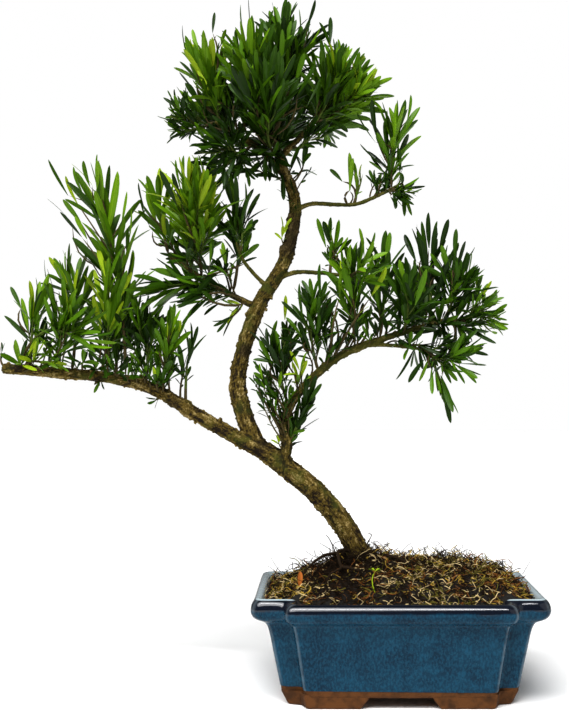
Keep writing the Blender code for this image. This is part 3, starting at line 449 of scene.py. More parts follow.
    Shoot("upper_right_branch", 0.88, (0, -18, 337), 22, Tint.DARK, True, True),
    Shoot("upper_right_branch", 0.72, (-14, -8, 368), 13, Tint.DARK),
    Shoot("upper_right_branch", 0.8, (-8, -8, 370), 13, Tint.DARK),
    Shoot("upper_right_branch", 0.84, (-3, -8, 364), 13, Tint.DARK),
    Shoot("upper_right_branch", 0.76, (-10, -8, 361), 13, Tint.DARK),
    Shoot("upper_right_branch", 0.95, (8, -6, 382), 24, Tint.DEEP, True),
    Shoot("upper_right_branch", 0.95, (10, -6, 368), 22, Tint.DEEP, True),
    Shoot("right_crest_spray", 0.8, (23, -4, 337), 34, Tint.DEEP, True, True),
    Shoot("right_crest_spray", 0.75, (27, -4, 328), 34, Tint.DEEP, True, True),
    Shoot("right_crest_spray", 0.8, (38, -4, 332), 34, Tint.DEEP, True, True),
    Shoot("right_crest_spray", 0.6, (45, -4, 315), 34, Tint.DEEP, True, True),
    Shoot("right_crest_spray", 0.6, (4, -4, 325), 34, Tint.DEEP, True, True),
    Shoot("right_crest_spray", 0.7, (11, -4, 329), 34, Tint.DEEP, True, True),
    Shoot("right_crest_spray", 0.85, (28, -4, 332), 34, Tint.DEEP, True, True),
    Shoot("mid_right_high_spray", 0.45, (-38, -6, 332), 30, Tint.BRIGHT, True, True),
    Shoot("mid_right_high_spray", 0.45, (-32, -10, 320), 26, Tint.BRIGHT, True, True),
    Shoot("right_bough", 0.5, (-38, -34, 300), 34, Tint.BRIGHT, True, True),
    Shoot("right_bough", 0.5, (-24, -34, 302), 34, Tint.MID, True, True),
    Shoot("left_bough", 0.935, (-246, -26, 248), 30, Tint.YOUNG, True, True),
    Shoot("left_bough", 0.935, (-250, -26, 250), 26, Tint.YOUNG, True, True),
    Shoot("left_bough", 0.935, (-241, -26, 244), 28, Tint.YOUNG, True, True),
    Shoot("low_right_branch", 0.9, (37, -26, 194), 42, Tint.DARK, True, True),
    Shoot("low_right_branch", 0.55, (18, -26, 239), 18, Tint.MID),
    Shoot("low_right_branch", 0.7, (26, -26, 236), 20, Tint.MID),
    Shoot("low_right_branch", 0.8, (22, -26, 248), 20, Tint.DARK),
    Shoot("low_right_branch", 0.6, (15, -26, 249), 16, Tint.DARK),
    Shoot("right_bough", 0.9, (24, -20, 245), 24, Tint.DARK),
    Shoot("right_bough", 0.93, (34, -20, 243), 26, Tint.DEEP),
    Shoot("right_bough", 0.97, (42, -20, 246), 24, Tint.DARK),
    Shoot("right_bough", 1.0, (52, -20, 241), 26, Tint.DEEP),
    Shoot("right_bough", 0.88, (30, -20, 251), 20, Tint.DARK),
    Shoot("right_bough", 0.85, (18, -20, 252), 18, Tint.DEEP),
    Shoot("right_bough", 1.0, (60, -20, 247), 24, Tint.DARK),
    Shoot("right_shoulder_spray", 0.8, (51, -14, 309), 28, Tint.DARK, True, True),
    Shoot("right_shoulder_spray", 0.6, (46, -14, 318), 28, Tint.DEEP, True, True),
    Shoot("right_shoulder_spray", 0.6, (41, -14, 324), 26, Tint.DEEP, True, True),
    Shoot("crown_front_spray", 0.35, (-120, -52, 434), 36, Tint.MID, True, True),
    Shoot("crown_front_spray", 0.5, (-109, -52, 438), 34, Tint.MID, True, True),
    Shoot("crown_front_spray", 0.4, (-101, -52, 427), 32, Tint.DARK, True, True),
    Shoot("crown_front_spray", 0.25, (-115, -52, 421), 32, Tint.DARK, True, True),
    Shoot("crown_front_spray", 0.45, (-66, -52, 427), 34, Tint.MID, True, True),
    Shoot("crown_front_spray", 0.5, (-56, -52, 431), 34, Tint.MID, True, True),
    Shoot("crown_front_spray", 0.35, (-49, -52, 419), 32, Tint.DARK, True, True),
    Shoot("crown_front_spray", 0.3, (-73, -52, 411), 30, Tint.DARK, True, True),
    Shoot("crown_front_spray", 0.2, (-62, -52, 404), 30, Tint.DARK, True, True),
    Shoot("crown_front_spray", 0.2, (-85, -52, 400), 28, Tint.DEEP, True, True),
    Shoot("crown_front_spray", 0.2, (-96, -52, 396), 28, Tint.DEEP, True, True),
    Shoot("crown_front_spray", 0.25, (-108, -52, 405), 30, Tint.DARK, True, True),
    Shoot("crown_front_spray", 0.6, (-89, -52, 435), 32, Tint.MID, True, True),
    Shoot("crown_left_high_spray", 0.6, (-131, -26, 442), 34, Tint.BRIGHT, True, True),
    Shoot("crown_left_high_spray", 0.4, (-140, -26, 432), 32, Tint.MID, True, True),
    Shoot("crown_left_high_spray", 0.3, (-128, -26, 425), 32, Tint.MID, True, True),
    Shoot("crown_left_low_spray", 0.6, (-146, -34, 404), 32, Tint.MID, True, True),
    Shoot("crown_left_low_spray", 0.4, (-137, -34, 395), 30, Tint.DARK, True, True),
    Shoot("crown_left_low_spray", 0.7, (-152, -34, 395), 30, Tint.DARK, True, True),
    Shoot("crown_right_side_spray", 0.5, (-32, -30, 424), 34, Tint.MID, True, True),
    Shoot("crown_right_side_spray", 0.35, (-40, -30, 414), 32, Tint.MID, True, True),
    Shoot("crown_right_side_spray", 0.5, (-28, -30, 413), 30, Tint.DARK, True, True),
    Shoot("crown_right_side_spray", 0.7, (-22, -30, 422), 30, Tint.BRIGHT, True, True),
    Shoot("right_bough", 0.1, (-95, -18, 221), 13, Tint.DARK),
    Shoot("right_bough", 0.09, (-99, -18, 211), 12, Tint.DEEP),
    Shoot("right_bough", 0.1, (-92, -18, 211), 12, Tint.DARK),
    Shoot("right_bough", 0.13, (-87, -18, 215), 13, Tint.DARK),
    Shoot("right_bough", 0.12, (-80, -18, 208), 12, Tint.DEEP),
    Shoot("right_bough", 0.17, (-75, -18, 214), 12, Tint.DARK),
    Shoot("right_bough", 0.08, (-89, -18, 202), 11, Tint.DEEP),
    Shoot("right_bough", 0.09, (-80, -18, 200), 11, Tint.DARK),
    Shoot("right_bough", 0.16, (-98, -18, 228), 13, Tint.DARK),
    Shoot("right_bough", 0.17, (-84, -18, 223), 14, Tint.DARK),
    Shoot("right_inner_spray", 0.8, (-86, -16, 256), 28, Tint.MID, True, True),
    Shoot("right_inner_spray", 0.5, (-98, -16, 249), 30, Tint.DARK, True, True),
    Shoot("right_inner_spray", 0.6, (-95, -16, 254), 30, Tint.DARK, True, True),
    Shoot("right_inner_spray", 0.5, (-75, -16, 246), 30, Tint.DARK, True, True),
    Shoot("right_rising_spray", 0.3, (-68, -34, 254), 30, Tint.DARK, True, True),
    Shoot("right_rising_spray", 0.4, (-74, -34, 262), 32, Tint.DARK, True, True),
    Shoot("right_rising_spray", 0.6, (-60, -34, 274), 30, Tint.MID, True, True),
    Shoot("right_rising_spray", 0.4, (-53, -34, 266), 30, Tint.DARK, True, True),
    Shoot("left_front_spray", 0.5, (-226, -44, 261), 34, Tint.MID, True, True),
    Shoot("left_front_spray", 0.5, (-236, -44, 267), 32, Tint.MID, True, True),
    Shoot("left_front_spray", 0.6, (-206, -44, 261), 34, Tint.BRIGHT, True, True),
    Shoot("left_front_spray", 0.7, (-215, -44, 274), 32, Tint.MID, True, True),
    Shoot("left_tall_spray", 0.8, (-232, -8, 368), 28, Tint.BRIGHT, True, True),
    Shoot("left_tall_spray", 0.88, (-225, -8, 375), 28, Tint.BRIGHT, True, True),
    Shoot("left_tall_spray", 0.9, (-215, -8, 379), 26, Tint.BRIGHT, True, True),
    Shoot("left_tall_spray", 0.7, (-237, -8, 360), 28, Tint.BRIGHT, True, True),
    Shoot("left_tall_spray", 0.6, (-235, -8, 347), 28, Tint.BRIGHT, True, True),
    Shoot("left_tall_spray", 0.5, (-230, -8, 336), 28, Tint.BRIGHT, True, True),
    Shoot("left_tall_spray", 0.65, (-191, -8, 352), 32, Tint.BRIGHT, True, True),
    Shoot("left_tall_spray", 0.5, (-186, -8, 338), 28, Tint.BRIGHT, True, True),
    Shoot("left_tall_spray", 0.4, (-189, -8, 324), 26, Tint.DARK, True, True),
    Shoot("left_near_spray", 0.9, (-153, -40, 268), 28, Tint.BRIGHT, True, True),
    Shoot("left_near_spray", 0.8, (-147, -40, 263), 26, Tint.MID, True, True),
    Shoot("left_near_spray", 0.7, (-142, -40, 266), 28, Tint.MID, True, True),
    Shoot("left_near_spray", 0.7, (-162, -40, 262), 26, Tint.MID, True, True),
    Shoot("left_near_spray", 0.5, (-169, -40, 252), 24, Tint.DARK, True, True),
    Shoot("left_bough", 0.74, (-226, -30, 237), 17, Tint.DARK),
    Shoot("left_bough", 0.72, (-217, -34, 240), 18, Tint.MID),
    Shoot("left_bough", 0.67, (-212, -28, 234), 16, Tint.DARK),
    Shoot("left_bough", 0.65, (-203, -34, 237), 18, Tint.DARK),
    Shoot("left_bough", 0.61, (-198, -30, 232), 16, Tint.MID),
    Shoot("left_bough", 0.59, (-194, -24, 236), 17, Tint.DEEP),
    Shoot("left_bough", 0.55, (-188, -32, 229), 16, Tint.DARK),
    Shoot("left_bough", 0.53, (-183, -28, 233), 17, Tint.MID),
    Shoot("left_bough", 0.5, (-178, -32, 228), 16, Tint.DARK),
    Shoot("left_bough", 0.48, (-173, -24, 232), 17, Tint.DARK),
    Shoot("left_bough", 0.45, (-169, -32, 225), 16, Tint.MID),
    Shoot("left_bough", 0.43, (-164, -26, 228), 17, Tint.DARK),
    Shoot("right_bough", 0.47, (-44, -26, 247), 17, Tint.DARK),
    Shoot("right_bough", 0.51, (-38, -30, 251), 18, Tint.DEEP),
    Shoot("right_bough", 0.56, (-32, -26, 253), 17, Tint.DARK),
    Shoot("right_bough", 0.6, (-26, -28, 257), 18, Tint.DARK),
    Shoot("right_bough", 0.65, (-19, -30, 255), 17, Tint.MID),
    Shoot("right_bough", 0.68, (-12, -28, 261), 18, Tint.DEEP),
    Shoot("right_bough", 0.73, (-4, -30, 259), 17, Tint.DARK),
    Shoot("right_bough", 0.78, (3, -28, 264), 18, Tint.DARK),
    Shoot("low_right_branch", 0.25, (14, -24, 248), 19, Tint.DARK),
    Shoot("low_right_branch", 0.45, (22, -26, 250), 20, Tint.DARK),
    Shoot("low_right_branch", 0.6, (29, -28, 243), 20, Tint.DEEP),
    Shoot("left_upper_branch", 0.22, (-125, -16, 313), 22, Tint.MID),
    Shoot("left_upper_branch", 0.3, (-129, -18, 308), 20, Tint.DARK),
    Shoot("left_upper_branch", 0.42, (-134, -16, 315), 20, Tint.DARK),
    Shoot("left_upper_branch", 0.6, (-154, -14, 319), 20, Tint.DARK),
    Shoot("leader", 0.94, (-95, -24, 368), 26, Tint.DARK),
    Shoot("leader", 0.95, (-102, -26, 372), 26, Tint.DEEP),
    Shoot("leader", 0.93, (-88, -28, 373), 24, Tint.DARK),
    Shoot("mid_right_high_spray", 0.85, (-54, -8, 333), 30, Tint.MID, True, True),
    Shoot("mid_right_high_spray", 0.85, (-40, -8, 332), 30, Tint.BRIGHT, True, True),
    Shoot("mid_right_high_spray", 0.8, (-33, -8, 320), 26, Tint.BRIGHT, True, True),
    Shoot("mid_right_end_spray", 0.55, (-37, -56, 298), 32, Tint.BRIGHT, True, True),
    Shoot("mid_right_end_spray", 0.6, (-25, -56, 300), 32, Tint.BRIGHT, True, True),
    Shoot("mid_right_end_spray", 0.6, (-8, -56, 295), 36, Tint.MID, True, True),
)


class Place:
    """Where the tables' origin, the pot's centre on the table top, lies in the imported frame."""

    def __init__(self) -> None:
        low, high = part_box("pot")
        self.shift = Vector(((low.x + high.x) / 2, (low.y + high.y) / 2, 0.0))

    def point(self, x: float, y: float, z: float) -> Vector:
        """A table's point in mm, as a point of the frame in metres."""
        return Vector((x, y, z)) * MM + self.shift


class Wiring:
    """A node tree and the one method that adds any node to it."""

    def __init__(self, tree: bpy.types.NodeTree) -> None:
        self.tree = tree

    def node(self, kind: str, settings: dict, values: dict) -> bpy.types.Node:
        """Add a node.

        Args:
            kind: The node's type.
            settings: Its own properties, which are set first.
            values: The value of, or the number or socket linked to, each input by its name or number.

        Returns:
            The node.
        """
        made = self.tree.nodes.new(kind)
        for name, value in settings.items():
            setattr(made, name, value)
        for key, value in values.items():
            self.feed(made.inputs[key], value)
        return made

    def feed(self, socket: bpy.types.NodeSocket, value: Number | bpy.types.NodeSocket | float | Colour) -> None:
        """Set an input's value, or link a number or a socket to it."""
        if isinstance(value, Number):
            value = value.socket
        if isinstance(value, bpy.types.NodeSocket):
            self.tree.links.new(value, socket)
        elif socket.type == "RGBA":
            socket.default_value = (*value, 1.0)
        else:
            socket.default_value = value


class Number:
    """A number that changes over a surface, on which Python's operators add Math nodes."""

    def __init__(self, wiring: Wiring, socket: bpy.types.NodeSocket) -> None:
        self.wiring = wiring
        self.socket = socket

    def _maths(self, operation: str, *values: Number | float) -> Number:
        made = self.wiring.node("ShaderNodeMath", {"operation": operation}, dict(enumerate(values)))
        return Number(self.wiring, made.outputs[0])

    def __add__(self, other: Number | float) -> Number:
        return self._maths("ADD", self, other)

    def __radd__(self, other: float) -> Number:
        return self._maths("ADD", other, self)

    def __sub__(self, other: Number | float) -> Number:
        return self._maths("SUBTRACT", self, other)

    def __rsub__(self, other: float) -> Number:
        return self._maths("SUBTRACT", other, self)

    def __mul__(self, other: Number | float) -> Number:
        return self._maths("MULTIPLY", self, other)

    def __rmul__(self, other: float) -> Number:
        return self._maths("MULTIPLY", other, self)

    def between(self, low: float, high: float) -> Number:
        """This number rescaled so that low gives 0 and high gives 1, held within that range."""
        settings = {"interpolation_type": "SMOOTHSTEP", "clamp": True}
        made = self.wiring.node("ShaderNodeMapRange", settings, {0: self, 1: low, 2: high})
        return Number(self.wiring, made.outputs[0])


class Look(Wiring):
    """A Principled material."""

    def __init__(self, name: str, roughness: float) -> None:
        """Start a material.

        Args:
            name: The material's name.
            roughness: Its roughness where nothing changes it.
        """
        self.material = bpy.data.materials.new(name)
        self.material.use_nodes = True
        super().__init__(self.material.node_tree)
        self.shader = self.tree.nodes["Principled BSDF"]
        self.place = self.node("ShaderNodeTexCoord", {}, {}).outputs["Object"]
        self.set("Roughness", roughness)

    def set(self, name: str, value: Number | bpy.types.NodeSocket | float | Colour) -> None:
        """Set or link one of the shader's inputs."""
        self.feed(self.shader.inputs[name], value)

    def height(self) -> Number:
        """The height over the table."""
        return Number(self, self.node("ShaderNodeSeparateXYZ", {}, {0: self.place}).outputs["Z"])

    def attribute(self, name: str) -> Number:
        """A number stored on the mesh."""
        return Number(self, self.node("ShaderNodeAttribute", {"attribute_name": name}, {}).outputs["Fac"])

    def noise(self, scale: float, detail: float = 3.0, stretch: Colour = (1, 1, 1)) -> Number:
        """Smooth noise.

        Args:
            scale: How many waves it has in a metre.
            detail: How many finer waves it adds.
            stretch: Factors on its scale along each axis.

        Returns:
            The noise, from 0 to 1.
        """
        moved = self.node("ShaderNodeMapping", {}, {"Vector": self.place, "Scale": stretch}).outputs[0]
        values = {"Vector": moved, "Scale": scale, "Detail": detail, "Roughness": 0.6}
        return Number(self, self.node("ShaderNodeTexNoise", {}, values).outputs[0])

    def cells(self, scale: float) -> Number:
        """The distance from the middle of scattered cells."""
        made = self.node("ShaderNodeTexVoronoi", {}, {"Vector": self.place, "Scale": scale})
        return Number(self, made.outputs["Distance"])

    def mix(
        self, share: Number | float, first: Colour | bpy.types.NodeSocket, second: Colour | bpy.types.NodeSocket
    ) -> bpy.types.NodeSocket:
        """Mix two colours by a share."""
        settings = {"data_type": "RGBA", "clamp_factor": True}
        return self.node("ShaderNodeMix", settings, {0: share, 6: first, 7: second}).outputs[2]

    def bump(self, height: Number, distance: float, strength: float = 1.0) -> None:
        """Roughen the surface by a height, over a distance in metres."""
        made = self.node("ShaderNodeBump", {}, {"Height": height, "Distance": distance, "Strength": strength})
        self.set("Normal", made.outputs[0])


@dataclass(frozen=True)
class GlazeFinish:
    """Blue glaze: teal and navy clouds full of fine flecks, a near-black lip, pale lines on the corner edges (thin
    glaze with a painted highlight) and a pale rim (thin glaze on its crest, painted reflection on its top face at the
    sides and back).
    """

    name: str = "blue_glaze"
    navy: Colour = (0.003, 0.022, 0.044)
    teal: Colour = (0.009, 0.068, 0.118)
    fleck: Colour = (0.03, 0.13, 0.18)
    lip: Colour = (0.0015, 0.004, 0.012)
    # pale is the thin glaze on edges and crest, and also a painted reflection on the rim's top face and a painted
    # highlight on the corner edges.
    pale: Colour = (0.40, 0.48, 0.51)
    band: tuple[float, float] = (65.6 * MM, 71.9 * MM)
    rim_z: float = 72.6 * MM

    def make(self) -> bpy.types.Material:
        """Build the material."""
        look = Look(self.name, 0.12)
        clouds = look.noise(45, 4).between(0.36, 0.66)
        grain = look.noise(700, 3, (1, 1, 0.6))
        wall = look.mix(clouds * 0.4 + grain.between(0.38, 0.66) * 0.6, self.navy, self.teal)
        wall = look.mix(look.noise(1100, 1).between(0.62, 0.78) * 0.4, wall, self.fleck)
        height = look.height() + (look.noise(60, 2) - 0.5) * (4 * MM)
        low, high = self.band
        shoulder = height.between(low - 1.2 * MM, low + 1.2 * MM)
        wall = look.mix(shoulder, wall, self.lip)
        # Pale lines on the corner edges: partly thin glaze and partly a painted highlight of the light on the rounded
        # corners.
        edge_breaks_and_highlights = look.attribute("arris").between(0.2, 1.0) * look.noise(90, 2).between(0.25, 0.6)
        wall = look.mix(edge_breaks_and_highlights * 0.15, wall, self.pale)
        # The rim's crest is pale all round, partly thin glaze and partly painted reflection, and its top face at the
        # sides and back is a painted reflection of light, taken from the mesh's mask.
        wall = look.mix(look.height().between(high, self.rim_z) + look.attribute("inner"), wall, self.pale)
        look.set("Base Color", wall)
        look.set("Roughness", 0.08 + 0.16 * grain)
        look.set("Specular IOR Level", 0.14)
        look.set("Coat Weight", shoulder)
        look.set("Coat Roughness", 0.05)
        look.bump(look.noise(150, 3), 0.4 * MM, 0.5)
        return look.material


@dataclass(frozen=True)
class ClayFinish:
    """Bare fired clay: red-brown, with darker stains."""

    name: str = "bare_clay"
    body: Colour = (0.115, 0.045, 0.012)
    stain: Colour = (0.05, 0.02, 0.006)

    def make(self) -> bpy.types.Material:
        """Build the material."""
        look = Look(self.name, 0.75)
        look.set("Specular IOR Level", 0.2)
        stains = look.noise(110, 5).between(0.38, 0.68)
        look.set("Base Color", look.mix(stains, self.body, self.stain))
        look.bump(look.noise(1500, 3), 0.25 * MM, 0.7)
        return look.material


@dataclass(frozen=True)
class BarkFinish:
    """Flaky bark: tan plates over dark furrows, mossy stains, and greener bark where the limb is thin."""

    name: str = "bark"
    plate: Colour = (0.36, 0.275, 0.115)
    body: Colour = (0.097, 0.066, 0.010)
    furrow: Colour = (0.014, 0.008, 0.003)
    moss: Colour = (0.060, 0.070, 0.008)

    def make(self) -> bpy.types.Material:
        """Build the material."""
        look = Look(self.name, 0.85)
        look.set("Specular IOR Level", 0.2)
        relief = look.attribute("relief")
        grain = look.noise(900, 4)
        colour = look.mix(relief.between(0.15, 0.5), self.furrow, self.body)
        colour = look.mix(relief.between(0.5, 0.8) * grain.between(0.3, 0.65), colour, self.plate)
        moss = look.noise(75, 3).between(0.48, 0.7) * 0.6 + look.attribute("young") * 0.7
        colour = look.mix(moss, colour, self.moss)
        colour = look.mix(look.attribute("stain") * 0.75, colour, self.furrow)
        look.set("Base Color", colour)
        look.bump(look.noise(1300, 4), 0.5 * MM, 0.9)
        return look.material


@dataclass(frozen=True)
class PlainFinish:
    """One base colour with a fine grain in its roughness, for the many small things."""

    name: str
    colour: Colour
    roughness: float = 0.5
    specular: float = 0.17

    def make(self) -> bpy.types.Material:
        """Build the material."""
        look = Look(self.name, self.roughness)
        look.set("Base Color", self.colour)
        grain = look.noise(700, 2)
        look.set("Roughness", self.roughness * 0.8 + grain * (self.roughness * 0.4))
        look.set("Specular IOR Level", self.specular)
        look.bump(grain, 0.1 * MM, 0.3)
        return look.material


@dataclass(frozen=True)
class PeatFinish:
    """Damp peat: near black, with brown crumbs."""

    name: str = "peat"
    dark: Colour = (0.007, 0.005, 0.003)
    crumb: Colour = (0.07, 0.04, 0.017)

    def make(self) -> bpy.types.Material:
        """Build the material."""
        look = Look(self.name, 0.95)
        crumbs = look.cells(420).between(0.5, 0.1) * look.noise(240, 3).between(0.48, 0.7)
        look.set("Base Color", look.mix(crumbs, self.dark, self.crumb))
        look.bump(look.noise(600, 4), 1.5 * MM, 1.0)
        return look.material


# The leaf greens from darkest to lightest; the steps between them carry painted shade and light as well as the leaves'
# own tones.
LEAF_FINISHES = {
    Tint.DEEP: PlainFinish("leaf_deep", (0.012, 0.035, 0.001), 0.36),
    Tint.DARK: PlainFinish("leaf_dark", (0.031, 0.081, 0.002), 0.37),
    Tint.MID: PlainFinish("leaf_mid", (0.073, 0.165, 0.003), 0.39),
    Tint.BRIGHT: PlainFinish("leaf_bright", (0.125, 0.245, 0.005), 0.42),
    Tint.YOUNG: PlainFinish("leaf_young", (0.28, 0.39, 0.012), 0.44),
}
RIB_FINISHES = {
    Tint.DEEP: PlainFinish("rib_deep", (0.025, 0.060, 0.004), 0.42),
    Tint.DARK: PlainFinish("rib_dark", (0.052, 0.115, 0.006), 0.42),
    Tint.MID: PlainFinish("rib_mid", (0.105, 0.20, 0.009), 0.42),
    Tint.BRIGHT: PlainFinish("rib_bright", (0.19, 0.31, 0.014), 0.42),
    Tint.YOUNG: PlainFinish("rib_young", (0.33, 0.44, 0.03), 0.42),
}
TWIG_FINISHES = (
    PlainFinish("brown_twig", (0.075, 0.058, 0.022), 0.8),
    PlainFinish("green_twig", (0.085, 0.12, 0.02), 0.65),
)
DRY_LEAF_FINISH = PlainFinish("dry_leaf", (0.38, 0.13, 0.025), 0.7)


@dataclass
class MeshHeap:
    """Arrays of vertices and faces, gathered before they are made one mesh."""

    points: list[np.ndarray] = field(default_factory=list)
    faces: list[np.ndarray] = field(default_factory=list)
    slots: list[np.ndarray] = field(default_factory=list)
    total: int = 0

    def add(self, points: np.ndarray, faces: np.ndarray, slots: np.ndarray | None = None) -> None:
        """Add points of shape (n, 3) and quads of shape (m, 4) that count from the first of them."""
        self.points.append(points)
        self.faces.append(faces + self.total)
        self.slots.append(np.zeros(len(faces), np.int32) if slots is None else slots)
        self.total += len(points)

    def make(self, name: str, finishes: Sequence) -> bpy.types.Object:
        """Turn the heap into one object.

        Args:
            name: The object's name.
            finishes: The finishes that its faces' slots count into.

        Returns:
            The object.
        """
        points = np.concatenate(self.points)
        faces = np.concatenate(self.faces)
        mesh = bpy.data.meshes.new(name)
        mesh.vertices.add(len(points))
        mesh.vertices.foreach_set("co", points.astype(np.float32).ravel())
        mesh.loops.add(faces.size)
        mesh.loops.foreach_set("vertex_index", faces.astype(np.int32).ravel())
        mesh.polygons.add(len(faces))
        mesh.polygons.foreach_set("loop_start", np.arange(0, faces.size, 4, dtype=np.int32))
        mesh.polygons.foreach_set("material_index", np.concatenate(self.slots).astype(np.int32))
        for finish in finishes:
            mesh.materials.append(finish.make())
        mesh.update(calc_edges=True)
        mesh.shade_smooth()
        made = bpy.data.objects.new(name, mesh)
        bpy.context.scene.collection.objects.link(made)
        return made


def tube_arrays(points: np.ndarray, radii: np.ndarray, sides: int) -> tuple[np.ndarray, np.ndarray]:
    """A tube through points, with its ends drawn together.

    Args:
        points: The centre line, of shape (n, 3).
        radii: The radius at each of them.
        sides: How many sides it has.

    Returns:
        The vertices, and the quads from its first ring to its last.
    """
    ahead = np.gradient(points, axis=0)
    ahead /= np.linalg.norm(ahead, axis=1, keepdims=True) + 1e-12
    helper = np.array([0.0, 0.0, 1.0]) if abs(ahead[0][2]) < 0.8 else np.array([1.0, 0.0, 0.0])
    across = np.cross(ahead, helper)
    across /= np.linalg.norm(across, axis=1, keepdims=True) + 1e-12
    up = np.cross(across, ahead)
    turns = np.linspace(0, math.tau, sides, endpoint=False)
    spread = across[:, None, :] * np.cos(turns)[None, :, None] + up[:, None, :] * np.sin(turns)[None, :, None]
    rings = points[:, None, :] + spread * radii[:, None, None]
    rings[0] = rings[0].mean(axis=0) + (rings[0] - rings[0].mean(axis=0)) * 0.05
    rings[-1] = rings[-1].mean(axis=0) + (rings[-1] - rings[-1].mean(axis=0)) * 0.05
    count = len(points)
    base = (np.arange(count - 1)[:, None] * sides + np.arange(sides)[None, :]).ravel()
    beside = (np.arange(count - 1)[:, None] * sides + (np.arange(sides)[None, :] + 1) % sides).ravel()
    quads = np.stack([base, beside, beside + sides, base + sides], axis=1)
    return rings.reshape(-1, 3), quads


def smooth_route(stations: Sequence[Vector], radii: Sequence[float], step: float) -> tuple[np.ndarray, np.ndarray]:
    """Points and radii along a smooth curve through stations, about a step apart."""
    knots = [np.array(s) for s in stations]
    padded = [knots[0], *knots, knots[-1]]
    points, sizes = [], []
    for i, (before, start, end, after) in enumerate(zip(padded, padded[1:], padded[2:], padded[3:])):
        count = max(1, round(float(np.linalg.norm(end - start)) / step))
        for j in range(count):
            t = j / count
            linear = 2 * start + (end - before) * t
            square = (2 * before - 5 * start + 4 * end - after) * t**2
            cube = (3 * start - before - 3 * end + after) * t**3
            points.append((linear + square + cube) / 2)
            sizes.append(radii[i] + (radii[i + 1] - radii[i]) * t)
    points.append(knots[-1])
    sizes.append(radii[-1])
    return np.array(points), np.array(sizes)


def point_along(route: np.ndarray, share: float) -> Vector:
    """The point at a share of a route's length."""
    lengths = np.linalg.norm(np.diff(route, axis=0), axis=1)
    marks = np.concatenate([[0.0], np.cumsum(lengths)])
    wanted = share * marks[-1]
    return Vector([float(np.interp(wanted, marks, route[:, axis])) for axis in range(3)])


def perpendicular(axis: Vector, azimuth: float) -> Vector:
    """The direction square to an axis at an azimuth round it."""
    return Matrix.Rotation(azimuth, 3, axis) @ axis.orthogonal().normalized()


def bowed(start: Vector, middle: Vector, end: Vector, count: int) -> np.ndarray:
    """Points along an arc from start through middle to end."""
    t = np.linspace(0, 1, count)[:, None]
    a, b, c = np.array(start), np.array(middle), np.array(end)
    return a * (1 - t) ** 2 + (2 * b - (a + c) / 2) * 2 * t * (1 - t) + c * t**2


@dataclass
class Leaf:
    """One strap leaf: its root, its frame, its size and how it bends."""

    root: Vector
    along: Vector
    across: Vector
    face: Vector
    length: float
    width: float
    bend: float
    fold: float
    twist: float
    droop: float = 0.0


class LeafCutter:
    """Turns leaves into one mesh, from one outline with a rib down its middle."""

    STATIONS = np.array([0.0, 0.10, 0.26, 0.45, 0.65, 0.82, 0.94, 1.0])
    WIDTHS = np.array([0.15, 0.34, 0.68, 0.92, 1.0, 0.88, 0.55, 0.10])
    RIB = 0.12

    def cut(self, leaves: Sequence[Leaf], heap: MeshHeap) -> None:
        """Add leaves to a heap.

        Args:
            leaves: The leaves.
            heap: Where their faces go: slot 0 for the blade, slot 1 for the rib.
        """
        count = len(leaves)
        root, along, across, face = (
            np.array([getattr(leaf, name) for leaf in leaves])[:, None, None, :]
            for name in ("root", "along", "across", "face")
        )
        length, width, bend, fold, twist, droop = (
            np.array([getattr(leaf, name) for leaf in leaves])[:, None, None]
            for name in ("length", "width", "bend", "fold", "twist", "droop")
        )
        t = self.STATIONS[None, :, None]
        rib = np.minimum(self.RIB, self.WIDTHS)
        sides = np.stack([-self.WIDTHS, -rib * 0.5, rib * 0.5, self.WIDTHS], axis=1)[None]
        x = length * t * np.ones((1, 1, 4))
        flat = width / 2 * sides
        lift = fold * np.abs(flat)
        turn = twist * t
        y = flat * np.cos(turn) - lift * np.sin(turn)
        z = flat * np.sin(turn) + lift * np.cos(turn) - bend * length * t**2
        points = root + x[..., None] * along + y[..., None] * across + z[..., None] * face
        points[..., 2] -= droop * length * t**2
        rows = len(self.STATIONS)
        quads, slots = [], []
        for row in range(rows - 1):
            for strip in range(3):
                corner = row * 4 + strip
                quads.append((corner, corner + 4, corner + 5, corner + 1))
                slots.append(1 if strip == 1 else 0)
        quads = np.array(quads)[None] + np.arange(count)[:, None, None] * rows * 4
        heap.add(points.reshape(-1, 3), quads.reshape(-1, 4), np.tile(np.array(slots), count))


